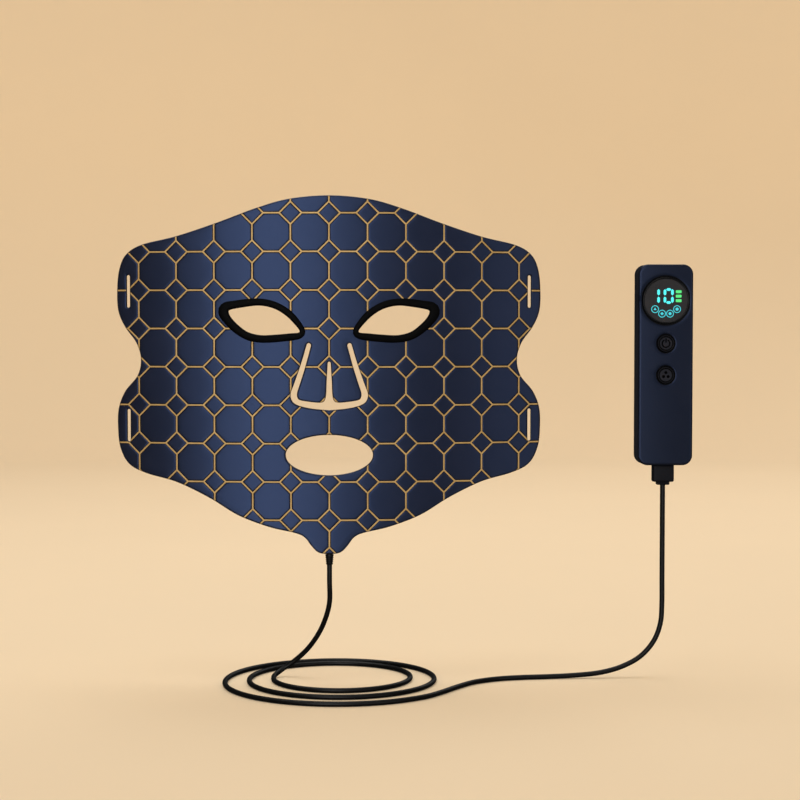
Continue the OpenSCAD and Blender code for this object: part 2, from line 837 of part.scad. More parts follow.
// Buttons: a cap through the case, a flange behind it, and a stem to the switch
function plunger_y() = board_front_y - switch_height - switch_plunger;
module button(z) {
    // The child is the flat shape of the symbol let into the cap
    flange_y = case_front_y + case_wall + flange_gap;
    color(case_navy)
        difference() {
            union() {
                round_piece(case_x, z, button_radius, case_front_y - button_proud, flange_y + 0.1);
                round_piece(case_x, z, button_flange_r, flange_y, flange_y + button_flange);
                round_piece(case_x, z, 1.2, flange_y, plunger_y() - button_travel - 0.05);
            }
            translate([case_x, case_front_y - button_proud - dish_sphere_r + dish_depth, z])
                sphere(r = dish_sphere_r);
            symbol_piece(z, 3) children();
        }
}
module power_button() {
    button(power_z) power_shape();
}
module mode_button() {
    button(mode_z) mode_shape();
}
module symbol_piece(z, thickness) {
    translate([case_x, symbol_y, z])
        rotate([90, 0, 0])
            linear_extrude(height = thickness)
                children();
}
// Open ring with an upright bar in its gap
module power_shape() {
    difference() {
        circle(r = 2.35);
        circle(r = 1.85);
        translate([-0.7, 0])
            square([1.4, 3]);
    }
    translate([-0.25, 0.5])
        square([0.5, 2.25]);
}
// Three dots round the middle
module mode_shape() {
    for (a = [90, 210, 330])
        translate(1.45 * [cos(a), sin(a)])
            circle(r = 0.75);
}
module power_symbol() {
    color(symbol_grey) symbol_piece(power_z, symbol_thickness) power_shape();
}
module mode_symbol() {
    color(symbol_grey) symbol_piece(mode_z, symbol_thickness) mode_shape();
}

// ---------- Plug ----------

plug_width = 11.8;
plug_depth = 7;
plug_height = 9.3;
neck_height = 1.8;
plug_top = case_bottom - plug_gap;
module plug_body() {
    color(jacket_black)
        translate([case_x, parting_y, plug_top]) {
            translate([0, 0, -plug_height / 2])
                cube([plug_width, plug_depth, plug_height], center = true);
            translate([0, 0, -plug_height - neck_height / 2])
                cube([7.2, 5, neck_height], center = true);
        }
}
module plug_shell() {
    color(steel)
        translate([case_x, parting_y, plug_top + 3.3])
            cube([8.2, 2.4, 6.6], center = true);
}

front_skin();
rear_skin();
flex_circuit();
light_chips();
eye_gasket_left();
eye_gasket_right();
junction_board();
lead_wires();
chin_gland();
cord();
plug_body();
plug_shell();
front_skin_left();
rear_skin_left();
flex_circuit_left();
light_chips_left();
front_skin_right();
rear_skin_right();
flex_circuit_right();
light_chips_right();
nose_flap_left();
nose_liner_left();
nose_flap_right();
nose_liner_right();
case_front();
case_back();
display_ring();
display_panel();
digit_segments();
battery_bars();
mode_icons();
display_board();
main_board();
board_chips();
tact_switches();
battery();
battery_foam();
battery_leads();
usb_socket();
case_screws();
power_button();
power_symbol();
mode_button();
mode_symbol();
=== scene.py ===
import math

import bmesh
import bpy
import numpy as np
from mathutils import Euler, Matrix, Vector
from mathutils.geometry import delaunay_2d_cdt


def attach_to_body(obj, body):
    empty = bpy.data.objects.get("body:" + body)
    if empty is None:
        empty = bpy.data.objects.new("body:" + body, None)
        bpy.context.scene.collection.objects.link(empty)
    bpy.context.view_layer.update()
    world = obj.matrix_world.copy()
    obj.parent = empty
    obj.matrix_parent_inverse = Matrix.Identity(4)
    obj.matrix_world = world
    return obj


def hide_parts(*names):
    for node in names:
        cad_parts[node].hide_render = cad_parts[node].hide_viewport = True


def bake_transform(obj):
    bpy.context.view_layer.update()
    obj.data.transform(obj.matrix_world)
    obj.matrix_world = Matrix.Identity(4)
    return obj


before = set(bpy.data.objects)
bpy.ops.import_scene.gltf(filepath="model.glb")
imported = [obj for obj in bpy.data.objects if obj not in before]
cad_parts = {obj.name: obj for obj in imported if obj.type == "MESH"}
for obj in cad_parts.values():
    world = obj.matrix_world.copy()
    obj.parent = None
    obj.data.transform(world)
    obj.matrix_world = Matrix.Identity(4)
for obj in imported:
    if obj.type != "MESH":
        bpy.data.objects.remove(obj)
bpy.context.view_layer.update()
scene = bpy.context.scene
MM = 0.001

# ---------- Camera ----------

camera_data = bpy.data.cameras.new("camera")
camera_data.lens, camera_data.sensor_width = 83.0, 36.0
camera = bpy.data.objects.new("camera", camera_data)
camera.location = (0.0123, -1.0113, 0.0229)
camera.rotation_euler = Euler((math.radians(87.673), 0, math.radians(-1.5)))
scene.collection.objects.link(camera)
scene.camera = camera

# ---------- Curves and plans, in millimetres ----------


def catmull(points, steps, closed=True):
    """Smooth curve through the points, steps to each stretch."""
    p = np.array(points, float)
    n = len(p)
    t = np.arange(steps)[:, None] / steps
    out = []
    for i in range(n if closed else n - 1):
        at = [(i + k) % n if closed else min(max(i + k, 0), n - 1) for k in (-1, 0, 1, 2)]
        a, b, c, d = p[at]
        square, cube = 2 * a - 5 * b + 4 * c - d, 3 * b - a - 3 * c + d
        out.append(0.5 * (2 * b + (c - a) * t + square * t**2 + cube * t**3))
    return np.vstack(out) if closed else np.vstack(out + [p[-1:]])


def even(line, step, closed=True):
    """The same line with its points evenly spaced."""
    p = np.vstack([line, line[:1]]) if closed else np.array(line, float)
    s = np.concatenate([[0], np.cumsum(np.linalg.norm(np.diff(p, axis=0), axis=1))])
    n = max(3 if closed else 1, round(s[-1] / step))
    at = np.linspace(0, s[-1], n + (not closed), endpoint=not closed)
    return np.stack([np.interp(at, s, p[:, k]) for k in range(p.shape[1])], 1)


def mirrored(loop):
    return (np.array(loop, float) * (-1, 1))[::-1]


def both_halves(half):
    half = np.array(half, float)
    return np.vstack([half, mirrored(half)[1:-1]])


def inset(loop, d):
    """A clockwise loop moved inwards by d."""
    t = np.roll(loop, -1, 0) - np.roll(loop, 1, 0)
    t /= np.linalg.norm(t, axis=1)[:, None] + 1e-12
    return loop + d * np.stack([t[:, 1], -t[:, 0]], 1)


def inside(q, loop):
    hit = np.zeros(len(q), bool)
    for (ax, az), (bx, bz) in zip(loop, np.roll(loop, -1, 0)):
        if az != bz:
            over = (az > q[:, 1]) != (bz > q[:, 1])
            hit ^= over & (q[:, 0] < (bx - ax) * (q[:, 1] - az) / (bz - az) + ax)
    return hit


def distance(q, loop):
    best = np.full(len(q), 1e9)
    for a, b in zip(loop, np.roll(loop, -1, 0)):
        ab = b - a
        t = np.clip(((q - a) @ ab) / max(ab @ ab, 1e-12), 0, 1)
        v = q - a - t[:, None] * ab
        best = np.minimum(best, (v * v).sum(1))
    return np.sqrt(best)


def rounding(away, r):
    """How far below the face a round edge of radius r is, at a distance from the edge."""
    return r - np.sqrt(np.maximum(0, r**2 - (r - np.minimum(away, r)) ** 2))


def circle(cx, cz, r, n):
    a = np.linspace(0, 2 * math.pi, n, endpoint=False)
    return np.stack([cx + r * np.sin(a), cz + r * np.cos(a)], 1)


def triangulate(loops, lines=(), points=()):
    """Flat triangles that keep every edge of the loops and lines."""
    verts, edges = [], []
    for group, closed in ((loops, True), (lines, False)):
        for p in group:
            n0, n = len(verts), len(p)
            verts.extend(map(tuple, p))
            edges.extend((n0 + i, n0 + (i + 1) % n) for i in range(n if closed else n - 1))
    verts.extend(map(tuple, points))
    v, _, f, *_ = delaunay_2d_cdt(verts, edges, [], 0, 1e-4)
    return np.array([tuple(p) for p in v]), np.array([t for t in f if len(t) == 3])


# ---------- Meshes ----------


def new_object(name, verts, faces, materials, smooth=True):
    """A mesh object from millimetres, in the row frame."""
    mesh = bpy.data.meshes.new(name)
    mesh.from_pydata((np.asarray(verts, float) * MM).tolist(), [], [list(map(int, f)) for f in faces])
    for m in materials if isinstance(materials, (list, tuple)) else [materials]:
        mesh.materials.append(m)
    mesh.polygons.foreach_set("use_smooth", [smooth] * len(mesh.polygons))
    mesh.update()
    obj = bpy.data.objects.new(name, mesh)
    scene.collection.objects.link(obj)
    return obj


def crisp(obj, degrees):
    """Smooth shading, but for edges sharper than the angle."""
    obj.data.set_sharp_from_angle(angle=math.radians(degrees))


def stand_in(obj, body, node_name):
    """The piece rides on the body and is shown in place of the CAD node."""
    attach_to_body(obj, body)
    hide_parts(node_name)


def edge_counts(tris):
    """Directed edges that only one triangle has, each the way its triangle goes round."""
    e = np.concatenate([tris[:, [0, 1]], tris[:, [1, 2]], tris[:, [2, 0]]])
    key = np.sort(e, 1)
    _, first, count = np.unique(key, axis=0, return_index=True, return_counts=True)
    return e[first[count == 1]]


def face_normals(p, tris):
    return np.cross(p[tris[:, 1]] - p[tris[:, 0]], p[tris[:, 2]] - p[tris[:, 0]])


def vertex_normals(p, tris):
    n = np.zeros_like(p)
    f = face_normals(p, tris)
    for k in range(3):
        np.add.at(n, tris[:, k], f)
    return n / (np.linalg.norm(n, axis=1)[:, None] + 1e-12)


def slab(name, tris, front, back, materials, front_n, back_n):
    """A closed piece between two surfaces that share a triangulation, whose triangles face the front."""
    used, tri = np.unique(tris, return_inverse=True)
    tri = tri.reshape(-1, 3)
    n = len(used)
    rim = edge_counts(tri)
    walls = np.stack([rim[:, 1], rim[:, 0], rim[:, 0] + n, rim[:, 1] + n], 1)
    verts = np.vstack([front[used], back[used]])
    out = np.cross(verts[walls[:, 1]] - verts[walls[:, 0]], verts[walls[:, 3]] - verts[walls[:, 0]])
    out /= np.linalg.norm(out, axis=1)[:, None] + 1e-12
    total = np.zeros((n, 3))
    np.add.at(total, rim[:, 0], out)
    np.add.at(total, rim[:, 1], out)
    total /= np.linalg.norm(total, axis=1)[:, None] + 1e-12
    wall_n = np.stack([total[rim[:, 1]], total[rim[:, 0]], total[rim[:, 0]], total[rim[:, 1]]], 1)
    turned = (wall_n * out[:, None]).sum(2) < 0.8
    wall_n = np.where(turned[:, :, None], out[:, None], wall_n)
    obj = new_object(name, verts, list(tri) + list(tri[:, ::-1] + n) + list(walls), materials)
    normals = np.vstack([front_n[used][tri].reshape(-1, 3), back_n[used][tri[:, ::-1]].reshape(-1, 3),
                         wall_n.reshape(-1, 3)])
    obj.data.normals_split_custom_set(normals.tolist())
    return obj


def ring_faces(rows, n, wrap=False):
    """Four-sided faces between rows of n points each, and from the last row to the first if they wrap."""
    return [(i * n + s, i * n + (s + 1) % n, (i + 1) % rows * n + (s + 1) % n, (i + 1) % rows * n + s)
            for i in range(rows if wrap else rows - 1) for s in range(n)]


def lathe(name, profile, centre, materials, segments, axis="y"):
    """A turned piece. The profile is [radius, place along the axis], and a zero radius closes it."""
    a = np.linspace(0, 2 * math.pi, segments, endpoint=False)
    closed_ends = profile[0][0] == 0
    ring = profile[1:-1] if closed_ends else profile
    verts = []
    for r, y in ring:
        u, v = r * np.cos(a), r * np.sin(a)
        verts.append(np.stack([u, np.full_like(u, y), v] if axis == "y" else [v, u, np.full_like(u, y)], 1))
    verts = np.vstack(verts)
    k, n = len(ring), segments
    faces = ring_faces(k, n, wrap=not closed_ends)
    if closed_ends:
        for row, y, flip in ((0, profile[0][1], True), (k - 1, profile[-1][1], False)):
            verts = np.vstack([verts, [(0, y, 0) if axis == "y" else (0, 0, y)]])
            tip = len(verts) - 1
            for s in range(n):
                f = (row * n + s, row * n + (s + 1) % n, tip)
                faces.append(f[::-1] if flip else f)
    verts = verts + np.array(centre, float)
    obj = new_object(name, verts, faces, materials)
    fix_direction(obj)
    return obj


def fix_direction(obj):
    """Turns all faces round if the closed mesh is inside out."""
    mesh = obj.data
    mesh.calc_loop_triangles()
    p = np.array([v.co for v in mesh.vertices])
    t = np.array([t.vertices for t in mesh.loop_triangles])
    if (p[t[:, 0]] * np.cross(p[t[:, 1]], p[t[:, 2]])).sum() < 0:
        mesh.flip_normals()
    mesh.update()


# ---------- Materials ----------


def material(name, base, rough, shade, shade_scale, grain, rough_spread=0.06, rough_scale=300, **sockets):
    """Principled material with colour variation, roughness variation and a fine surface grain."""
    m = bpy.data.materials.new(name)
    m.use_nodes = True
    m.diffuse_color = (*base, 1)
    nodes, links = m.node_tree.nodes, m.node_tree.links
    bsdf = nodes["Principled BSDF"]
    where = nodes.new("ShaderNodeTexCoord").outputs["Object"]

    def noise(scale, detail=3.0, roughness=0.55):
        n = nodes.new("ShaderNodeTexNoise")
        for socket, value in (("Scale", scale), ("Detail", detail), ("Roughness", roughness)):
            n.inputs[socket].default_value = value
        links.new(where, n.inputs["Vector"])
        return n.outputs["Fac"]

    ramp = nodes.new("ShaderNodeValToRGB")
    ramp.color_ramp.elements[0].position, ramp.color_ramp.elements[1].position = 0.35, 0.65
    ramp.color_ramp.elements[0].color = (*shade, 1)
    ramp.color_ramp.elements[1].color = (*base, 1)
    links.new(noise(shade_scale), ramp.inputs["Fac"])
    links.new(ramp.outputs["Color"], bsdf.inputs["Base Color"])
    spread = nodes.new("ShaderNodeMapRange")
    spread.inputs["To Min"].default_value = max(0.02, rough - rough_spread)
    spread.inputs["To Max"].default_value = min(1.0, rough + rough_spread)
    links.new(noise(rough_scale, 4.0), spread.inputs["Value"])
    links.new(spread.outputs["Result"], bsdf.inputs["Roughness"])
    scale, strength, depth = grain
    bump = nodes.new("ShaderNodeBump")
    bump.inputs["Strength"].default_value = strength
    bump.inputs["Distance"].default_value = depth
    links.new(noise(scale, 5.0, 0.6), bump.inputs["Height"])
    links.new(bump.outputs["Normal"], bsdf.inputs["Normal"])
    for socket, value in sockets.items():
        bsdf.inputs[socket.replace("_", " ")].default_value = value
    return m


def patterned(m, kind, scale, colour, low=0.45, high=0.55):
    """Lays a second colour over the base by a regular pattern: tracks, pads or brushing."""
    nodes, links = m.node_tree.nodes, m.node_tree.links
    bsdf = nodes["Principled BSDF"]
    base = bsdf.inputs["Base Color"].links[0].from_socket
    where = nodes["Texture Coordinate"].outputs["Object"]
    if kind == "wave":
        tex = nodes.new("ShaderNodeTexWave")
        tex.bands_direction = "DIAGONAL"
        tex.inputs["Distortion"].default_value = 1.5
    elif kind == "brick":
        tex = nodes.new("ShaderNodeTexBrick")
        tex.inputs["Mortar Size"].default_value = 0.03
    else:
        tex = nodes.new("ShaderNodeTexVoronoi")
    tex.inputs["Scale"].default_value = scale
    links.new(where, tex.inputs["Vector"])
    out = tex.outputs["Distance"] if kind == "voronoi" else tex.outputs["Fac"]
    step = nodes.new("ShaderNodeMapRange")
    step.inputs["From Min"].default_value, step.inputs["From Max"].default_value = low, high
    links.new(out, step.inputs["Value"])
    mix = nodes.new("ShaderNodeMix")
    mix.data_type = "RGBA"
    links.new(step.outputs["Result"], mix.inputs["Factor"])
    links.new(base, mix.inputs["A"])
    mix.inputs["B"].default_value = (*colour, 1)
    links.new(mix.outputs["Result"], bsdf.inputs["Base Color"])
    return m


def painted_light_rings(m, centre, stops):
    """Multiplies the base colour by a grey that changes with the distance in X and Z from a centre, in mm. It
    paints shade and highlight in rings.
    """
    nodes, links = m.node_tree.nodes, m.node_tree.links
    bsdf = nodes["Principled BSDF"]
    base = bsdf.inputs["Base Color"].links[0].from_socket
    where = nodes["Texture Coordinate"].outputs["Object"]
    for operation, value in (("SUBTRACT", (centre[0] * MM, 0, centre[1] * MM)),
                             ("MULTIPLY", (1 / MM, 0, 1 / MM)), ("LENGTH", (0, 0, 0))):
        step = nodes.new("ShaderNodeVectorMath")
        step.operation, step.inputs[1].default_value = operation, value
        links.new(where, step.inputs[0])
        where = step.outputs[0]
    reach = stops[-1][0]
    share = nodes.new("ShaderNodeMapRange")
    share.inputs["From Max"].default_value = reach
    links.new(step.outputs["Value"], share.inputs["Value"])
    ramp = nodes.new("ShaderNodeValToRGB")
    ramp.color_ramp.elements[0].position, ramp.color_ramp.elements[1].position = stops[0][0] / reach, 1.0
    ramp.color_ramp.elements[0].color = (*[stops[0][1]] * 3, 1)
    ramp.color_ramp.elements[1].color = (*[stops[-1][1]] * 3, 1)
    for r, value in stops[1:-1]:
        ramp.color_ramp.elements.new(r / reach).color = (*[value] * 3, 1)
    links.new(share.outputs["Result"], ramp.inputs["Fac"])
    mix = nodes.new("ShaderNodeMix")
    mix.data_type, mix.blend_type = "RGBA", "MULTIPLY"
    mix.inputs["Factor"].default_value = 1.0
    links.new(base, mix.inputs["A"])
    links.new(ramp.outputs["Color"], mix.inputs["B"])
    links.new(mix.outputs["Result"], bsdf.inputs["Base Color"])


CASE_X, CASE_Z = 184.6, 0.95
DISPLAY_Z, POWER_Z, MODE_Z = 36.3, 12.8, -4.6

navy = material("navy_silicone", (0.0096, 0.0110, 0.0220), 0.33, (0.0080, 0.0092, 0.0185), 45,
                (2600, 0.16, 0.00004), 0.04, 900, Specular_IOR_Level=0.66,
                Specular_Tint=(0.28, 0.45, 1.0, 1.0))
# Darker navy for the groove faces beside the gold lines: painted shade in the grooves
groove = material("navy_groove_painted_shade", (0.0016, 0.0020, 0.0046), 0.50, (0.0012, 0.0015, 0.0034), 90,
                  (2600, 0.16, 0.00004), 0.05, 900, Specular_IOR_Level=0.15)
gold = material("gold_print", (0.52, 0.365, 0.155), 0.46, (0.44, 0.295, 0.110), 90,
                (3500, 0.22, 0.00003), 0.08, 1200, Metallic=0.30, Specular_IOR_Level=0.5)
clear = material("clear_silicone", (0.84, 0.87, 0.92), 0.24, (0.78, 0.82, 0.88), 40,
                 (1800, 0.12, 0.00005), 0.06, 700, Alpha=0.19, IOR=1.41, Specular_IOR_Level=1.0)
rubber = material("gasket_rubber", (0.0009, 0.0009, 0.0011), 0.62, (0.0006, 0.0006, 0.0008), 80,
                  (3000, 0.3, 0.00005), 0.08, 900, Specular_IOR_Level=0.09)
film = patterned(material("circuit_film", (0.44, 0.26, 0.09), 0.4, (0.38, 0.21, 0.07), 120,
                          (1500, 0.1, 0.00002)), "wave", 900, (0.60, 0.36, 0.14), 0.86, 0.94)
chip = material("light_chip_body", (0.90, 0.90, 0.88), 0.45, (0.85, 0.85, 0.83), 900, (4000, 0.2, 0.00002))
phosphor = material("light_chip_window", (0.92, 0.56, 0.04), 0.3, (0.86, 0.46, 0.03), 1500,
                    (5000, 0.25, 0.00002), Coat_Weight=0.6)
board = patterned(material("circuit_board", (0.012, 0.11, 0.045), 0.35, (0.008, 0.085, 0.035), 300,
                           (1500, 0.1, 0.00003), Coat_Weight=0.3),
                  "voronoi", 700, (0.75, 0.52, 0.22), 0.2, 0.14)
wire = material("lead_wire", (0.55, 0.05, 0.035), 0.4, (0.42, 0.03, 0.025), 500, (2500, 0.2, 0.00003))
jacket = material("cord_jacket", (0.0034, 0.0034, 0.0038), 0.42, (0.0025, 0.0025, 0.0028), 70,
                  (1600, 0.15, 0.00004), 0.06, 600, Specular_IOR_Level=0.26)
overmould = material("plug_overmould", (0.0045, 0.0056, 0.0110), 0.48, (0.0036, 0.0046, 0.0090), 90,
                     (2200, 0.3, 0.00005), 0.07, 800, Specular_IOR_Level=0.16)
steel = patterned(material("connector_steel", (0.66, 0.67, 0.69), 0.28, (0.58, 0.59, 0.61), 400,
                           (2500, 0.2, 0.00002), Metallic=1.0), "wave", 2500, (0.72, 0.73, 0.75), 0.4, 0.9)
CASE_LOOK = [(0.0058, 0.0074, 0.0138), 0.35, (0.0048, 0.0062, 0.0120), 50, (2800, 0.25, 0.00004), 0.05, 1100]
CASE_GLOSS = {"Specular_IOR_Level": 0.50, "Specular_Tint": (0.38, 0.52, 1.0, 1.0)}
case_rear = material("case_rear_plastic", *CASE_LOOK, **CASE_GLOSS)
case = material("case_plastic", *CASE_LOOK, **CASE_GLOSS)
# Painted shade: the case front is darkened in rings round the display and both buttons, set a little off
# centre
painted_light_rings(case, (CASE_X - 0.7, DISPLAY_Z + 0.2), [(13.0, 0.05), (13.9, 0.3), (15.2, 1.0)])
for button_z in (POWER_Z, MODE_Z):
    painted_light_rings(case, (CASE_X - 0.3, button_z), [(5.2, 0.15), (6.1, 0.45), (7.0, 1.0)])
# Near-black for the case faces close round the display and buttons: painted shade
opening_shade = material("case_opening_painted_shade", (0.0022, 0.0026, 0.0046), 0.55, (0.0016, 0.0020, 0.0036), 90,
                  (2800, 0.25, 0.00004), 0.05, 1100, Specular_IOR_Level=0.12)
button = material("button_plastic", (0.0165, 0.0195, 0.0310), 0.50, (0.0140, 0.0166, 0.0265), 90,
                  (2800, 0.25, 0.00004), 0.05, 1100, Specular_IOR_Level=0.06)
# Painted shade and highlight on the button caps: dark in the groove and on the outer edge, lighter on the
# raised ring's crown
for button_z in (POWER_Z, MODE_Z):
    painted_light_rings(button, (CASE_X, button_z), [(3.2, 1.0), (3.45, 0.06), (3.95, 0.06), (4.15, 0.5), (4.35, 0.4),
                                       (4.6, 0.08), (8.7, 0.08), (8.8, 1.0)])
ring_black = material("ring_plastic", (0.0022, 0.0022, 0.0027), 0.34, (0.0016, 0.0016, 0.0020), 200,
                      (3000, 0.12, 0.00003), 0.05, 900, Specular_IOR_Level=0.25)
panel = material("panel_plastic", (0.0232, 0.0252, 0.0325), 0.40, (0.0205, 0.0224, 0.0290), 120,
                 (2600, 0.1, 0.00002), 0.05, 900, Specular_IOR_Level=0.18)
cyan = material("glow_cyan", (0.05, 0.42, 0.45), 0.35, (0.04, 0.36, 0.40), 900, (3000, 0.1, 0.00002),
                Emission_Color=(0.055, 0.80, 0.84, 1.0), Emission_Strength=0.85)
green = material("glow_green", (0.05, 0.40, 0.12), 0.35, (0.04, 0.34, 0.10), 900, (3000, 0.1, 0.00002),
                 Emission_Color=(0.070, 0.72, 0.20, 1.0), Emission_Strength=0.80)
chip_black = material("chip_black", (0.012, 0.012, 0.013), 0.55, (0.009, 0.009, 0.010), 600,
                      (3500, 0.4, 0.00003))
foil = patterned(material("cell_foil", (0.60, 0.62, 0.66), 0.3, (0.50, 0.52, 0.56), 150, (600, 0.5, 0.0001),
                          Metallic=0.9), "wave", 300, (0.66, 0.68, 0.72), 0.3, 0.9)
foam = material("foam", (0.016, 0.016, 0.017), 0.95, (0.010, 0.010, 0.011), 1500, (1800, 1.0, 0.0003))
symbol = material("symbol_print", (0.0006, 0.0006, 0.0008), 0.75, (0.0004, 0.0004, 0.0006), 900,
                  (3000, 0.2, 0.00002), Specular_IOR_Level=0.02)
icon_glow = material("icon_glow", (0.03, 0.30, 0.36), 0.35, (0.02, 0.25, 0.31), 900, (3000, 0.1, 0.00002),
                     Emission_Color=(0.030, 0.50, 0.58, 1.0), Emission_Strength=0.95)
CARRIED = {
    "flex_circuit": film, "flex_circuit_left": film, "flex_circuit_right": film, "junction_board": board,
    "lead_wires": wire, "plug_shell": steel, "display_panel": panel, "digit_segments": cyan,
    "battery_bars": green, "mode_icons": icon_glow, "display_board": board, "main_board": board,
    "board_chips": chip_black, "tact_switches": steel, "battery": foil, "battery_foam": foam,
    "battery_leads": wire, "usb_socket": steel, "case_screws": steel,
}
for node_name, finish in CARRIED.items():
    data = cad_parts[node_name].data
    data.materials.clear()
    data.materials.append(finish)

# ---------- Cord ----------

LAY_Z = -171.6
drop = [(0, -2, -108.5), (0, -2, -118), (0, 0, -129), (-2, 2, -138), (-6, 5, -147.5), (-12, 8.5, -156.5),
        (-19, 11.5, -163.5), (-26, 12, -168.5), (-30, 8.5, -171)]
turns = []
for degrees in range(180, 1036, 19):
    turn = (degrees - 180) / 360
    radius, angle = 34.5 + 13 * turn, math.radians(degrees)
    turns.append((3.5 + radius * math.cos(angle), 3 - 4.5 * turn + radius * math.sin(angle), LAY_Z))
rise = [(60, -41, LAY_Z), (69, -27, LAY_Z), (79, -14, LAY_Z), (92, -5.5, LAY_Z), (106, -1.5, LAY_Z),
        (121, 0.5, LAY_Z), (136, 2, -171.2), (150, 3.2, -170), (162, 4.4, -167), (172.5, 5, -161.5),
        (180, 5, -153), (183.8, 5, -143)]
rise += [(CASE_X, 5, z) for z in (-132, -118, -104, -90, -77, -65.6)]
route = catmull(drop + turns + rise, 6, closed=False)
curve = bpy.data.curves.new("cord_jacket_run", "CURVE")
curve.dimensions = "3D"
curve.bevel_depth = 0.0014
curve.bevel_resolution = 5
curve.use_fill_caps = True
line = curve.splines.new("POLY")
line.points.add(len(route) - 1)
for point, (x, y, z) in zip(line.points, route):
    point.co = (x * MM, y * MM, z * MM, 1)
line.use_smooth = True
curve.materials.append(jacket)
cord = bpy.data.objects.new("cord_jacket_run", curve)
scene.collection.objects.link(cord)
stand_in(cord, "mask", "cord")

# ---------- Outlines of the mask, clockwise as the wearer's front is seen ----------

AXIS_Y = 400.0
FACE_R, REAR_R, POCKET_R, OUTER_R = 400.0, 401.4, 402.6, 404.0
PITCH, CORNER = 21.0, 6.15
SPLIT_X, FOLD_X = 70.0, 84.0
sheet_half = [(0, 93.5), (22, 91.6), (40, 86.6), (62, 78.6), (84, 71.6), (103, 67.2), (112, 62), (116, 54),
              (117.3, 43), (116.8, 31), (113, 22), (106.5, 13), (104, 4), (106, -5), (113, -13.6),
              (116.8, -23), (117.3, -34), (116, -45), (111, -54), (101, -59), (84, -63.6), (66, -72),
              (50, -81.5), (33, -87.8), (19, -91), (13.5, -93.5), (10, -98), (6, -101.8), (0, -102.6)]
eye_right = [(16.2, 19.8), (18.4, 22.8), (23.5, 27.9), (30, 31.8), (38, 33.5), (47, 32.6), (54.2, 31.2),
             (55, 29.6), (53.4, 26.6), (49.5, 22.6), (44.5, 19.1), (37.5, 17.4), (29, 17.7), (21, 18.4),
             (17, 18.7)]
eye_lip_right = [(12.9, 19.4), (15.3, 24.4), (20, 30), (26, 34.2), (33, 36.8), (41, 37.5), (50, 36.6),
                 (58, 35), (61.2, 31.4), (59.4, 26.6), (55.4, 21.8), (49.6, 17), (43, 14), (35, 13.1),
                 (26, 13.7), (18.5, 14.6), (14.2, 16.2)]
FOLD_LOW, FOLD_HIGH = np.array([0.85, 1.9]), np.array([9.95, 11.6])
slit_outer_half = [(10.2, 12.6), (11.1, 13.1), (12, 12.7), (12.5, 11.4), (14.2, 5.5), (16.3, -1),
                   (19.4, -9.8), (21, -14.1), (21, -17), (19.5, -19.6), (16, -21.4), (9, -22.9), (0, -23.7)]
flap_edge = [(11.6, 5.5), (13.4, -1), (16.2, -9.8), (17.5, -13.8), (17.5, -16.4), (15.8, -18.2), (8, -19.4),
             (4, -19.4), (2.4, -18.2), (1.7, -15), (1.4, -8), (1, -1)]
sheet_edge = even(catmull(both_halves(sheet_half), 10), 1.7)
eye_hole = {1: catmull(eye_right, 12)}
eye_hole[-1] = mirrored(eye_hole[1])
eye_lip = {1: catmull(eye_lip_right, 12)}
eye_lip[-1] = mirrored(eye_lip[1])
mouth = circle(0, 0, 1, 90) * (23.9, 11.1) + (0, -48.3)
flap_side = even(catmull([FOLD_HIGH] + flap_edge + [FOLD_LOW], 8, closed=False), 0.9, closed=False)
slit_side = even(catmull([FOLD_HIGH] + slit_outer_half, 8, closed=False), 0.9, closed=False)
half_void = np.vstack([[(0, 2.9), (0.45, 2.75), (0.75, 2.35)], flap_side[::-1], slit_side[1:]])
nose_void = both_halves(half_void)
SLOT_R, SLOT_REACH = 0.9, 8.1
bend = np.linspace(-math.pi / 2, math.pi / 2, 9)
cap_end = np.stack([SLOT_R * np.sin(bend), SLOT_REACH + SLOT_R * np.cos(bend)], 1)
slot_side = np.stack([np.full(12, SLOT_R), np.linspace(SLOT_REACH, -SLOT_REACH, 14)[1:-1]], 1)
slot = np.vstack([cap_end, slot_side, -cap_end, -slot_side])
slots = [slot + (x, z) for x in (-111, 111) for z in (41.5, -32.5)]
holes = [even(inset(eye_hole[s], -1.6), 1.2) for s in (-1, 1)] + [mouth, nose_void] + slots
rims = [sheet_edge] + holes


def smoothstep(t):
    t = np.clip(t, 0, 1)
    return t * t * (3 - 2 * t)


def on_sheet(q, r):
    """Points in space of plan points q at radius r."""
    r = np.broadcast_to(r, len(q))
    return np.stack([q[:, 0], AXIS_Y - np.sqrt(r * r - q[:, 0] ** 2), q[:, 1]], 1)


def from_gold(q):
    """Distance to the nearest gold centre line."""
    x, z = (np.abs((q[:, k] + PITCH / 2) % PITCH - PITCH / 2) for k in (0, 1))
    t = np.clip((x - z + CORNER) / (2 * CORNER), 0, 1)
    slant = np.hypot(x - CORNER * t, z - CORNER * (1 - t))
    level = np.hypot(np.minimum(x - CORNER, 0), z)
    upright = np.hypot(x, np.minimum(z - CORNER, 0))
    return np.minimum(slant, np.minimum(level, upright))


def split_edges(polygon, step):
    out = []
    for a, b in zip(polygon, np.roll(polygon, -1, 0)):
        n = max(1, round(np.linalg.norm(b - a) / step))
        out.append(a + (b - a) * np.arange(n)[:, None] / n)
    return np.vstack(out)


def octagon(cx, cz, d):
    a, c = PITCH / 2 - d, PITCH - CORNER - d * math.sqrt(2)
    b = c - a
    return np.array([(a, b), (b, a), (-b, a), (-a, b), (-a, -b), (-b, -a), (b, -a), (a, -b)]) + (cx, cz)


def diamond(cx, cz, d):
    h = CORNER - d * math.sqrt(2)
    return np.array([(h, 0), (0, h), (-h, 0), (0, -h)]) + (cx, cz)


# Half widths of a gold line and of its groove, and how far from an edge both stop
GOLD_HALF, GROOVE_HALF, GOLD_STOP = 0.40, 0.66, 0.29
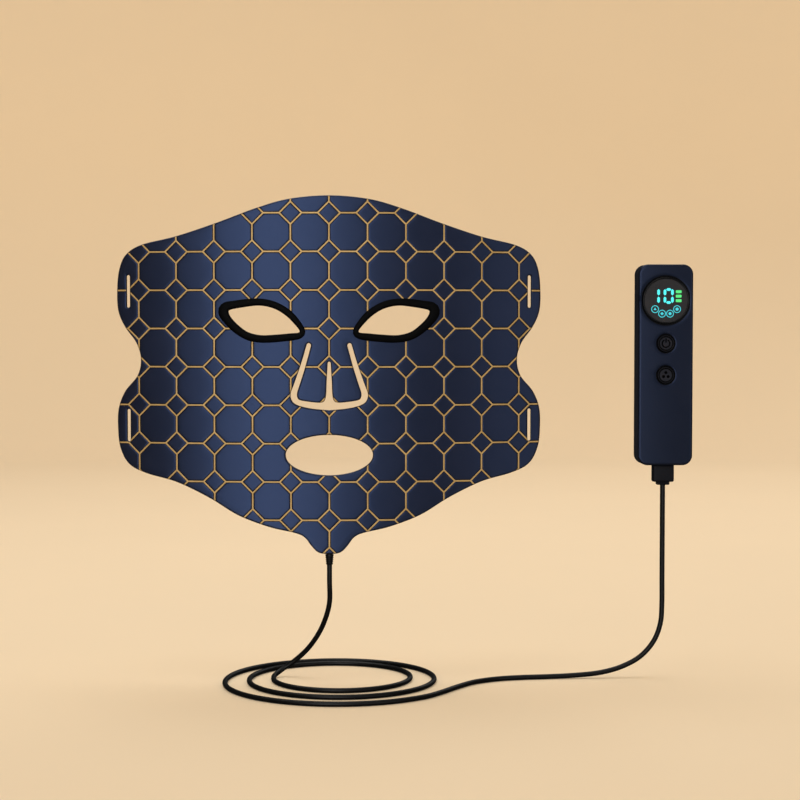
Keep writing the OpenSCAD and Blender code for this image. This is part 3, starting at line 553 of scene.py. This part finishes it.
# Where the sheet's relief bends, as distances from the middle of a gold line
BENDS = (GROOVE_HALF, 0.84, 1.2, 2.2, 4.2)
FILLET, REAR_FILLET, RIM_WIDTH, POCKET_HALF_WIDTH = 0.9, 0.8, 3.0, 104
# Width of the nose flaps' solid hem, and the widths of the temple and nose folds
HEM, TEMPLE_FOLD, NOSE_FOLD = 1.6, 14, 3.5
# A gold line's edges, its crown and its bed, from the sheet's front
BEAD_EDGE, BEAD_CROWN, BED = -0.06, 0.07, -0.30
CELLS = [(i, j) for i in range(-6, 7) for j in range(-6, 6)]


def offset_lines(distances):
    """Lines at set distances from every edge, with the points that fold over left out."""
    lines = []
    for k, rim in enumerate(rims):
        step = np.linalg.norm(rim[1] - rim[0])
        for d in distances:
            moved = inset(rim, d if k == 0 else -d)
            good = distance(moved, rim) > 0.93 * d
            runs = [[]]
            for j in [*range(len(moved)), 0]:
                run = runs[-1]
                if good[j] and (not run or np.linalg.norm(moved[j] - run[-1]) < 4 * max(step, 1)):
                    run.append(moved[j])
                else:
                    runs.append([moved[j]] if good[j] else [])
            lines += [np.array(run) for run in runs if len(run) > 1]
    return lines


def split_lines():
    lines = [np.stack([np.full(90, s * SPLIT_X), np.linspace(-110, 110, 90)], 1) for s in (-1, 1)]
    for s in (-1, 1):
        t = np.linspace(0, 1, 12)[:, None]
        lines.append((FOLD_LOW * (1 - t) + FOLD_HIGH * t) * (s, 1))
    return lines


def regions(q, tris):
    """Which piece each triangle belongs to: 0 outside, 1 middle, 2 and 3 sides, 4 and 5 nose flaps."""
    c = q[tris].mean(1)
    where = inside(c, sheet_edge).astype(int)
    for hole in holes:
        where[inside(c, hole)] = 0
    flap_outline = np.vstack([[FOLD_LOW], [FOLD_HIGH], flap_side[1:-1]])
    for label, s in ((4, -1), (5, 1)):
        outline = flap_outline * (s, 1)
        where[(where > 0) & inside(c, outline)] = label
    where[(where == 1) & (c[:, 0] < -SPLIT_X)] = 2
    where[(where == 1) & (c[:, 0] > SPLIT_X)] = 3
    return where


def facing(p, tris):
    """The triangles, all turned so that they face the front."""
    n = face_normals(p, tris)
    return np.where((n[:, 1] > 0)[:, None], tris[:, ::-1], tris)


def from_edges(q, tris, part):
    """Distance from the sheet's points to its nearest edge."""
    used = np.unique(tris[part > 0])
    out = np.zeros(len(q))
    out[used] = np.min([distance(q[used], rim) for rim in rims], axis=0)
    return out


loops = []
for d in (GOLD_HALF, *BENDS):
    for i, j in CELLS:
        loops.append(split_edges(octagon((i + 0.5) * PITCH, (j + 0.5) * PITCH, d), 3.0))
        if d < 4:
            loops.append(split_edges(diamond(i * PITCH, j * PITCH, d), 3.0))
centre_lines = []
for i, j in CELLS:
    x, z = i * PITCH, j * PITCH
    centre_lines.append(split_edges(diamond(x, z, 0), 2.4))
    t = np.linspace(CORNER, PITCH - CORNER, 5)
    centre_lines.append(np.stack([x + t, np.full(5, z)], 1))
    centre_lines.append(np.stack([np.full(5, x), z + t], 1))
grid = np.array([((i + 0.5) * PITCH + u, (j + 0.5) * PITCH + v) for i, j in CELLS
                 for u in (-3.4, 0, 3.4) for v in (-3.4, 0, 3.4)])
lines = (offset_lines((0.12, 0.3, 0.55, FILLET, 1.6, 1.75, 3.0, 3.3)) + split_lines()
         + [np.vstack([c, c[:1]]) if len(c) > 5 else c for c in centre_lines])
q, tris = triangulate(rims + loops, lines, grid)
part = regions(q, tris)
edge = from_edges(q, tris, part)
gold_d = from_gold(q)
flap_vertex = np.zeros(len(q), bool)
flap_vertex[np.unique(tris[part >= 4])] = True

fillet = rounding(edge, FILLET)
relief = np.interp(gold_d, (0, *BENDS, 10), (-0.17, -0.17, -0.03, 0.005, 0.03, 0.05, 0.06))
relief = np.where(relief < 0, relief * smoothstep((edge - 0.1) / 0.4),
                  relief * smoothstep((edge - 0.8) / 2.6))
front = on_sheet(q, OUTER_R + relief - fillet)
pocket = smoothstep((edge - RIM_WIDTH) / 0.3) * (np.abs(q[:, 0]) < POCKET_HALF_WIDTH)
back_r = np.where(flap_vertex, np.where(edge < HEM + 0.05, FACE_R + 0.05, REAR_R),
                  REAR_R + (POCKET_R - REAR_R) * pocket)
back = on_sheet(q, back_r)
tris = facing(front, tris)
kept = tris[part > 0]
front_n, back_n = vertex_normals(front, kept), -vertex_normals(back, kept)


def without_pinches(chosen):
    """The triangles but those at a point where two stretches only touch by a corner."""
    for _ in range(4):
        points, count = np.unique(edge_counts(chosen), return_counts=True)
        chosen = chosen[~np.isin(chosen, points[count > 2]).any(1)]
    return chosen


crown = BEAD_CROWN * (1 - (np.minimum(gold_d, GOLD_HALF) / GOLD_HALF) ** 2)
bead = on_sheet(q, OUTER_R + BEAD_EDGE + crown - fillet)
bed = on_sheet(q, OUTER_R + BED - fillet)
gold_tris = (part > 0) & (edge[tris].min(1) > GOLD_STOP)
gold_tris &= (gold_d[tris].mean(1) < GOLD_HALF * 0.98) & (gold_d[tris].max(1) < GOLD_HALF + 0.02)
bead_n = vertex_normals(bead, tris[gold_tris])
bed_n = -vertex_normals(bed, tris[gold_tris])

# Each part of the sheet: its word, its body, and the CAD nodes of its front and its rear
PIECES = {1: ("middle", "mask", "front_skin", "rear_skin"),
          2: ("left", "left_wing", "front_skin_left", "rear_skin_left"),
          3: ("right", "right_wing", "front_skin_right", "rear_skin_right"),
          4: ("flap_left", "left_nose_flap", "nose_flap_left", "nose_liner_left"),
          5: ("flap_right", "right_nose_flap", "nose_flap_right", "nose_liner_right")}


def attach(obj, label):
    """Rides on the mask; any other piece stays where it is, its place baked into the mesh, and its fold's
    start and end are worked out but not used.
    """
    if label == 1:
        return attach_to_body(obj, "mask")
    if label in (2, 3):
        s = -1 if label == 2 else 1
        start, end = (s * (FOLD_X + d) * MM for d in (-TEMPLE_FOLD / 2, TEMPLE_FOLD / 2))
        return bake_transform(obj)
    s = -1 if label == 4 else 1
    along = FOLD_HIGH - FOLD_LOW
    across = np.array([along[1], -along[0]]) / np.linalg.norm(along)
    start = (FOLD_LOW + FOLD_HIGH) / 2
    end = start + NOSE_FOLD * across
    start, end = ((s * p[0] * MM, 0, p[1] * MM) for p in (start, end))
    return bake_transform(obj)


for label, (word, _, front_node, _) in PIECES.items():
    chosen = tris[part == label]
    piece = slab("skin_" + word, chosen, front, back, [navy, groove], front_n, back_n)
    # The groove faces next to each gold line take the darker navy: painted shade in the groove
    painted_shade = (gold_d[chosen].mean(1) < GROOVE_HALF) & (edge[chosen].min(1) > GOLD_STOP)
    kinds = np.zeros(len(piece.data.polygons), int)
    kinds[:len(chosen)] = painted_shade
    piece.data.polygons.foreach_set("material_index", kinds.tolist())
    attach(piece, label)
    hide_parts(front_node)
    stretch = without_pinches(tris[gold_tris & (part == label)])
    piece = slab("gold_lines_" + word, stretch, bead, bed, gold, bead_n, bed_n)
    attach(piece, label)

# ---------- Rear skin: frosted silicone with a shallow dome over each light ----------

DOME_R, DOME_RISE = 4.8, 0.35
lights = set()
for name in ("light_chips", "light_chips_left", "light_chips_right"):
    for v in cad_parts[name].data.vertices:
        lights.add((name, math.floor(v.co.x / MM / PITCH), math.floor(v.co.z / MM / PITCH)))
lights = sorted(lights)
light_at = np.array([((i + 0.5) * PITCH, (j + 0.5) * PITCH) for _, i, j in lights])
loops = [circle(x, z, r, n) for x, z in light_at for r, n in ((1.4, 12), (2.8, 20), (3.8, 28), (DOME_R, 32))]
grid = np.array([(x, z) for x in np.arange(-116, 117, 5.5) for z in np.arange(-101, 95, 5.5)])
grid = grid[np.linalg.norm(grid[:, None] - light_at[None], axis=2).min(1) > 5.5]
rq, rtris = triangulate(rims + loops, offset_lines((0.2, 0.5, 0.8, 1.6, 3.2)) + split_lines(), grid)
rpart = regions(rq, rtris)
redge = from_edges(rq, rtris, rpart)
near = np.linalg.norm(rq[:, None] - light_at[None], axis=2).min(1)
dome = DOME_RISE * (1 - smoothstep((near - 1) / (DOME_R - 1))) * smoothstep((redge - 1) / 2)
skin_face = on_sheet(rq, FACE_R - dome + rounding(redge, REAR_FILLET))
skin_inner = on_sheet(rq, REAR_R - 0.02)
rtris = facing(skin_face, rtris)
kept = rtris[rpart > 0]
inner_n, face_n = vertex_normals(skin_inner, kept), -vertex_normals(skin_face, kept)
for label, (word, _, _, rear_node) in PIECES.items():
    keep = rpart == label
    if label >= 4:
        keep &= redge[rtris].mean(1) > HEM
    piece = slab("rear_" + word, rtris[keep], skin_inner, skin_face, clear, inner_n, face_n)
    attach(piece, label)
    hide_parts(rear_node)

# ---------- Light chips: a white package with a bevelled edge and a yellow window ----------

CIRCUIT_R = 402.25
# Half width, half height and rise of each level
package = [(1.75, 1.4, 0.0), (1.75, 1.4, 0.50), (1.62, 1.27, 0.66), (1.30, 1.05, 0.70), (1.18, 0.93, 0.60)]
window = [(0.75, 0.58, 0.68), (0.3, 0.24, 0.71)]


def packages(name, node_name, body):
    levels = package + window
    n, white = 4 * len(levels), 4 * (len(package) - 1)
    one = [(3, 2, 1, 0)] + ring_faces(len(levels), 4) + [range(n - 4, n)]
    verts, faces, kinds = [], [], []
    for at_name, i, j in lights:
        if at_name != node_name:
            continue
        x, z = (i + 0.5) * PITCH, (j + 0.5) * PITCH
        turn = math.asin(x / AXIS_Y)
        faces += [[len(verts) + k for k in face] for face in one]
        kinds += [int(k > white) for k in range(len(one))]
        for w, h, up in levels:
            r = CIRCUIT_R + 0.02 - up
            for u, v in ((-w, -h), (w, -h), (w, h), (-w, h)):
                verts.append((r * math.sin(turn) + u * math.cos(turn),
                              AXIS_Y - r * math.cos(turn) + u * math.sin(turn), z + v))
    obj = new_object(name, verts, faces, [chip, phosphor], smooth=False)
    obj.data.polygons.foreach_set("material_index", kinds)
    fix_direction(obj)
    stand_in(obj, body, node_name)


packages("light_packages", "light_chips", "mask")
packages("light_packages_left", "light_chips_left", "left_wing")
packages("light_packages_right", "light_chips_right", "right_wing")

# ---------- Eye gaskets: a rounded front lip, a web through the sheet, a flat rear lip ----------


def reach(points, normals, loop):
    """How far each point is from the loop along its normal."""
    a, b = loop, np.roll(loop, -1, 0)
    out = []
    for p, n in zip(points, normals):
        e, w = b - a, a - p
        cross = n[0] * e[:, 1] - n[1] * e[:, 0]
        cross = np.where(np.abs(cross) < 1e-9, 1e-9, cross)
        along = (w[:, 0] * e[:, 1] - w[:, 1] * e[:, 0]) / cross
        t = (w[:, 0] * n[1] - w[:, 1] * n[0]) / cross
        hit = along[(t >= 0) & (t < 1) & (along > 0.5)]
        out.append(hit.min() if len(hit) else np.nan)
    out = np.array(out)
    bad = np.isnan(out)
    out[bad] = np.interp(np.flatnonzero(bad), np.flatnonzero(~bad), out[~bad])
    return out


def eye_gasket(side, name, node_name):
    hole = even(eye_hole[side], 0.55)
    t = np.roll(hole, -1, 0) - np.roll(hole, 1, 0)
    out_n = np.stack([-t[:, 1], t[:, 0]], 1) / np.linalg.norm(t, axis=1)[:, None]
    for _ in range(3):
        out_n = out_n + 0.5 * (np.roll(out_n, 1, 0) + np.roll(out_n, -1, 0))
        out_n /= np.linalg.norm(out_n, axis=1)[:, None]
    lip = reach(hole, out_n, eye_lip[side])
    for _ in range(4):
        lip = 0.5 * lip + 0.25 * (np.roll(lip, 1) + np.roll(lip, -1))
    section = []
    for share, r in ((0, 403.3), (0.02, 404.0), (0.08, 404.45), (0.2, 404.72), (0.38, 404.82), (0.58, 404.78),
                     (0.76, 404.62), (0.9, 404.36), (0.975, 404.1), (1.0, 403.86)):
        section.append((share * lip, r))
    section += [(np.full(len(hole), s), r) for s, r in
                ((1.5, 403.8), (1.5, 400.1), (2.95, 400.0), (3.2, 399.8), (3.1, 399.45), (2.7, 399.24),
                 (1.6, 399.2), (0.5, 399.24), (0.12, 399.5), (0, 400.2))]
    verts = np.vstack([on_sheet(hole + out_n * s[:, None], r) for s, r in section])
    obj = new_object(name, verts, ring_faces(len(section), len(hole), wrap=True), rubber)
    fix_direction(obj)
    crisp(obj, 50)
    stand_in(obj, "mask", node_name)


eye_gasket(-1, "eye_rim_left", "eye_gasket_left")
eye_gasket(1, "eye_rim_right", "eye_gasket_right")

# ---------- Chin gland ----------

profile = [(0, -98.7), (1.62, -98.7), (1.7, -99.0), (1.7, -102.7), (2.05, -102.9), (2.25, -103.0),
           (2.32, -103.2)]
for rib in range(4):
    z = -103.9 - 1.1 * rib
    r = 2.26 - 0.1 * rib
    profile += [(r + 0.02, z + 0.25), (r - 0.22, z + 0.1), (r - 0.22, z - 0.25), (r, z - 0.42),
                (r - 0.01, z - 0.6)]
profile += [(1.80, -108.35), (1.66, -108.5), (0, -108.5)]
gland = lathe("chin_strain_relief", profile, (0, -2, 0), jacket, 48, "z")
crisp(gland, 40)
stand_in(gland, "mask", "chin_gland")

# ---------- Controller ----------

HALF_W, HALF_H, CASE_R = 15.1, 55.2, 5.5
FRONT_Y, BACK_Y, PART_Y = -3.5, 13.5, 5.0
ROUND, WALL, BULGE = 1.2, 1.8, 0.5


def round_corner(w, h, r, corner, steps):
    """Points round one corner of a rectangle, clockwise, with the top right corner as the first."""
    sx, sz = (1, 1, -1, -1)[corner], (1, -1, -1, 1)[corner]
    turns = [math.radians(90 - 90 * corner - 90 * step / steps) for step in range(steps + 1)]
    return [(sx * (w - r) + r * math.cos(a), sz * (h - r) + r * math.sin(a)) for a in turns]


def case_outline(c):
    """The case's outline moved in by c, always with the same number of points."""
    w, h, r = HALF_W - c, HALF_H - c, max(CASE_R - c, 0.6)
    pts = []
    for corner in range(4):
        pts += round_corner(w, h, r, corner, 10)
        if corner in (0, 2):
            s = 1 if corner == 0 else -1
            pts += [(s * w, s * v) for v in np.linspace(h - r, r - h, 67)[1:-1]]
        elif corner == 1:
            pts += [(u, -h) for u in (6.5, 4.81, 4.79, 2.4, 0, -2.4, -4.79, -4.81, -6.5)]
        else:
            pts += [(u, h) for u in (-6.5, -4, -1.3, 1.3, 4, 6.5)]
    return np.array(pts)


def to_case(p, y):
    return np.stack([p[:, 0] + CASE_X, np.broadcast_to(y, len(p)), p[:, 1] + CASE_Z], 1)


def stretches(points, good):
    """The unbroken runs of a closed loop's points where good holds."""
    first = np.flatnonzero(~good)[0]
    points, good = np.roll(points, -first, 0), np.roll(good, -first)
    cuts = np.flatnonzero(np.diff(good.astype(int))) + 1
    runs = zip(np.split(points, cuts), np.split(good, cuts))
    return [run for run, kept in runs if kept[0] and len(run) > 1]


def shell(name, face_y, inwards, openings, node_name, finish):
    """Half of the case: a face with round openings, round edges, walls to the parting line."""
    insets = (0, 0.02, 0.08, 0.2, 0.4, 0.7, ROUND, WALL, 3.4)
    loops = [case_outline(c) for c in insets]
    wall_loop, arcs = loops[insets.index(WALL)], []
    for u, v, r, steps in openings:
        for more in steps:
            points = circle(u, v, r + more, max(28, int(r * 8)))
            clear = inside(points, wall_loop) & (distance(points, wall_loop) > 0.1)
            if clear.all():
                loops.append(points)
            else:
                arcs += stretches(points, clear)
    grid = np.array([(u, v) for u in np.arange(-10, 10.1, 3.3) for v in np.arange(-50, 50.1, 4)])
    p, t = triangulate(loops, arcs, grid)
    c = p[t].mean(1)
    keep = inside(c, loops[0])
    inner = inside(c, wall_loop)
    for u, v, r, _ in openings:
        out = np.hypot(c[:, 0] - u, c[:, 1] - v) < r * 0.999
        keep &= ~out
        inner &= ~out
    rim = distance(p, case_outline(0))
    rim[~inside(p, case_outline(0.001))] = 0
    depth = rounding(rim, ROUND)
    for u, v, r, steps in openings:
        reach_out = steps[-1]
        if reach_out > 0.3:
            s = np.clip(1 - (np.hypot(p[:, 0] - u, p[:, 1] - v) - r) / reach_out, 0, 1)
            depth += (0.5 if r > 9 else 0.28) * s**2 * np.clip(rim / ROUND, 0, 1)
    depth += BULGE * np.minimum(1, (p[:, 0] / HALF_W) ** 2)
    outer = to_case(p, face_y + inwards * depth)
    under = to_case(p, face_y + inwards * WALL)
    t = facing(to_case(p, 0.0), t)
    top_t, low_t = t[keep], t[inner]
    m = len(p)
    verts = [outer, under]
    faces = [tuple(f) for f in top_t] + [tuple(f[::-1] + m) for f in low_t]
    hole_rim = {frozenset(e): e for e in edge_counts(top_t).tolist()}
    for a, b in edge_counts(low_t).tolist():
        if frozenset((a, b)) in hole_rim:
            faces.append((b, a, a + m, b + m))
    lookup = {tuple(np.round(v, 3)): i for i, v in enumerate(p)}
    ring = [lookup[tuple(np.round(v, 3))] for v in loops[0]]
    wall = [lookup[tuple(np.round(v, 3))] + m for v in wall_loop]
    k = len(ring)
    flat = case_outline(0)
    notch = (flat[:, 1] < -HALF_H + 0.1) & (np.abs(flat[:, 0]) < 4.8)
    part_y = np.where(notch, PART_Y - inwards * 1.9, PART_Y - inwards * 0.02)
    levels = [(0, np.full(k, face_y + inwards * (ROUND + 1.2))), (0, part_y - inwards * 0.2), (0.18, part_y),
              (WALL, part_y)]
    start = 2 * m
    rows = [ring]
    for c_in, y in levels:
        verts.append(to_case(case_outline(c_in), y))
        rows.append(list(range(start, start + k)))
        start += k
    rows.append(wall)
    for a, b in zip(rows, rows[1:]):
        faces += [(a[i], a[(i + 1) % k], b[(i + 1) % k], b[i]) for i in range(k)]
    obj = new_object(name, np.vstack(verts), faces, [finish, opening_shade])
    middle = c[keep]
    # Faces close round the display and button openings take the near-black material: painted shade
    painted_shade = np.zeros(len(faces), int)
    for u, v, r, steps in openings:
        if steps[-1] > 0.3:
            painted_shade[:len(middle)] |= np.hypot(middle[:, 0] - u, middle[:, 1] - v) < r + 0.35 * steps[-1]
    painted_shade[:len(middle)] &= inside(middle, wall_loop)
    obj.data.polygons.foreach_set("material_index", painted_shade.tolist())
    tidy(obj)
    crisp(obj, 30)
    stand_in(obj, "controller", node_name)


def tidy(obj):
    """Removes loose points and makes all faces of the closed mesh face out."""
    bm = bmesh.new()
    bm.from_mesh(obj.data)
    bmesh.ops.remove_doubles(bm, verts=bm.verts, dist=1e-7)
    bmesh.ops.delete(bm, geom=[v for v in bm.verts if not v.link_faces], context="VERTS")
    bmesh.ops.recalc_face_normals(bm, faces=bm.faces)
    bm.to_mesh(obj.data)
    bm.free()
    fix_direction(obj)


shell("controller_front", FRONT_Y, 1,
      [(0, DISPLAY_Z - CASE_Z, 12.92, (0, 0.2, 0.5, 0.9, 1.4, 2.0, 2.6)),
       *[(0, z - CASE_Z, 5.06, (0, 0.15, 0.4, 0.75, 1.2)) for z in (POWER_Z, MODE_Z)]],
      "case_front", case)
shell("controller_back", BACK_Y, -1,
      [(s * 10.2, v, 1.9, (0, 0.12, 0.25)) for s in (-1, 1) for v in (47.85, -46.15)], "case_back", case_rear)

# Bezel: a rounded glossy lip, with a bead inside it
bezel = lathe("display_bezel", [(12.88, -2.3), (12.88, -3.35), (12.8, -3.62), (12.62, -3.78), (12.38, -3.85),
                                (12.15, -3.80), (12.0, -3.68), (11.92, -3.52), (11.92, -2.3)],
              (CASE_X, 0, DISPLAY_Z), ring_black, 128)
crisp(bezel, 50)
stand_in(bezel, "controller", "display_ring")


def cap(name, z, body, node_name):
    """Button cap: a round edge, a raised ring, a groove and a soft dish, with the flange and stem behind."""
    obj = lathe(name, [(0, -3.60), (1.2, -3.63), (2.4, -3.70), (3.0, -3.76), (3.25, -3.80), (3.4, -3.72),
                       (3.55, -3.70), (3.7, -3.80), (3.9, -3.93), (4.15, -3.98), (4.4, -3.95), (4.65, -3.84),
                       (4.82, -3.66), (4.9, -3.4), (4.9, -1.6), (5.85, -1.58), (5.9, -1.5), (5.9, -0.85),
                       (5.85, -0.8), (1.2, -0.8), (1.2, -0.3), (0, -0.3)],
                (CASE_X, 0, z), button, 80)
    crisp(obj, 45)
    stand_in(obj, body, node_name)


cap("power_cap", POWER_Z, "power_key", "power_button")
cap("mode_cap", MODE_Z, "mode_key", "mode_button")


DISH_Y, DISH_R = -3.6, 18


def raised(name, outlines, z, body, node_name):
    """Flat shapes with a soft edge on the button's dish, as one piece."""
    verts, faces = [], []
    for outline in outlines:
        outline = np.array(outline, float)
        area = (outline[:, 0] * np.roll(outline[:, 1], -1) - np.roll(outline[:, 0], -1) * outline[:, 1]).sum()
        if area > 0:
            outline = outline[::-1]
        small = inset(outline, 0.06)
        p, t = triangulate([outline, small])
        c = p[t].mean(1)
        t = facing(to_case(p, 0.0), t[inside(c, outline)])
        dish = DISH_Y - DISH_R + np.sqrt(DISH_R**2 - (p**2).sum(1))
        lift = np.where(distance(p, outline) < 0.01, 0.03, 0.08)
        top = np.stack([p[:, 0] + CASE_X, dish - lift - 0.03, p[:, 1] + z], 1)
        low = np.stack([p[:, 0] + CASE_X, np.full(len(p), -3.45), p[:, 1] + z], 1)
        m, base = len(p), len(verts)
        verts += top.tolist() + low.tolist()
        faces += [tuple(f + base) for f in t] + [tuple(f[::-1] + base + m) for f in t]
        faces += [(b + base, a + base, a + base + m, b + base + m) for a, b in edge_counts(t)]
    obj = new_object(name, verts, faces, symbol)
    tidy(obj)
    crisp(obj, 40)
    stand_in(obj, body, node_name)


arc = np.radians(np.linspace(24, 336, 40))
bow = np.stack([np.sin(arc), np.cos(arc)], 1)
ring_shape = np.vstack([2.42 * bow, 1.75 * bow[::-1]])
bar = np.array([(-0.34, 2.75), (0.34, 2.75), (0.34, 0.45), (-0.34, 0.45)])
raised("power_mark", [ring_shape, bar], POWER_Z, "power_key", "power_symbol")
raised("mode_mark", [circle(1.45 * math.cos(a), 1.45 * math.sin(a), 0.82, 24)
                     for a in np.radians((90, 210, 330))], MODE_Z, "mode_key", "mode_symbol")

# ---------- Plug: a moulded body with round edges, a stepped neck and a small strain relief ----------


def plug():
    """Half width, half depth, corner radius and height of each level, from the controller downwards."""
    levels = [(5.5, 3.1, 1.0, -54.5), (5.75, 3.35, 1.2, -54.58), (5.88, 3.48, 1.3, -54.8),
              (5.9, 3.5, 1.3, -55.5), (5.9, 3.5, 1.3, -62.6), (5.85, 3.45, 1.3, -63.25),
              (5.6, 3.2, 1.2, -63.65), (5.1, 2.9, 1.1, -63.79), (3.8, 2.5, 0.9, -63.8),
              (3.6, 2.42, 0.9, -63.92), (3.6, 2.4, 0.9, -65.0), (3.5, 2.3, 0.9, -65.35),
              (3.1, 2.1, 0.9, -65.5), (1.7, 1.7, 0.9, -65.55), (1.62, 1.62, 0.9, -65.6)]
    rows = []
    for w, d, r, z in levels:
        corners = [round_corner(w, d, min(r, d * 0.98), corner, 6) for corner in range(4)]
        p = np.array(sum(corners, []))
        rows.append(np.stack([p[:, 0] + CASE_X, p[:, 1] + PART_Y, np.full(len(p), z)], 1))
    n, k = len(rows[0]), len(rows)
    verts = np.vstack(rows)
    faces = ring_faces(k, n) + [list(range(n))[::-1], [(k - 1) * n + s for s in range(n)]]
    obj = new_object("plug_overmould", verts, faces, overmould)
    tidy(obj)
    crisp(obj, 38)
    stand_in(obj, "mask", "plug_body")
    return obj


plug_piece = plug()

# ---------- Stage and light ----------


def stage_material(name, base):
    return material(name, base, 0.8, tuple(0.985 * c for c in base), 3, (400, 0.05, 0.0002), 0.05, 20,
                    Specular_IOR_Level=0.10, Emission_Color=(*base, 1), Emission_Strength=0.22)


FLOOR_Z = -173.0
wall_profile = [(1700 + 500 * math.sin(a), FLOOR_Z + 500 * (1 - math.cos(a)))
                for a in np.radians(np.linspace(0, 90, 16))] + [(2200, 2600)]
around = np.linspace(0, 2 * math.pi, 96, endpoint=False)
floor_rows = [(r, FLOOR_Z) for r in (60, 200, 600, 1200, 1700)]


def bowl(name, rows, centre_point, finish):
    verts = [(r * math.cos(a), r * math.sin(a), z) for r, z in rows for a in around]
    n = len(around)
    faces = ring_faces(len(rows), n)
    if centre_point:
        verts.append((0, 0, rows[0][1]))
        faces += [(len(verts) - 1, (s + 1) % n, s) for s in range(n)]
    obj = new_object(name, verts, faces, finish)
    return obj


pale = stage_material("pale_stage", (0.785, 0.655, 0.472))
unlit = bpy.data.collections.new("stage_unlit_from_the_front")
for obj in (bowl("floor", floor_rows, True, pale), bowl("backdrop", wall_profile, False, pale)):
    obj.visible_glossy = False
    unlit.objects.link(obj)
for item in unlit.collection_objects:
    item.light_linking.link_state = "EXCLUDE"


def softbox(name, place, target, width, height, power, colour=(1, 1, 1)):
    data = bpy.data.lights.new(name, "AREA")
    data.shape, data.size, data.size_y = "RECTANGLE", width, height
    data.energy, data.color = power, colour
    obj = bpy.data.objects.new(name, data)
    obj.location = place
    obj.rotation_euler = (Vector(target) - Vector(place)).to_track_quat("-Z", "Y").to_euler()
    obj.visible_camera = False
    scene.collection.objects.link(obj)
    return obj


for lamp in (softbox("key", (-0.32, -1.40, 0.10), (0, 0, 0), 0.64, 1.5, 10.6),
             softbox("fill", (0.17, -1.40, 0.10), (0.05, 0, 0), 0.36, 1.5, 1.25),
             softbox("side", (0.98, -1.10, 0.10), (0.05, 0, 0), 0.6, 1.4, 2.6)):
    lamp.light_linking.receiver_collection = unlit
softbox("top", (-0.2, 0.3, 1.7), (0, 0.1, 0), 1.8, 1.6, 23.0, (1.0, 0.98, 0.95))
softbox("rear", (0.95, 1.35, 0.95), (0.03, 0, 0), 1.1, 1.1, 3.6)
world = bpy.data.worlds.new("world")
world.use_nodes = True
background = world.node_tree.nodes["Background"].inputs
background["Color"].default_value = (1.0, 0.97, 0.92, 1)
background["Strength"].default_value = 0.035
scene.world = world
scene.view_settings.view_transform = "Standard"
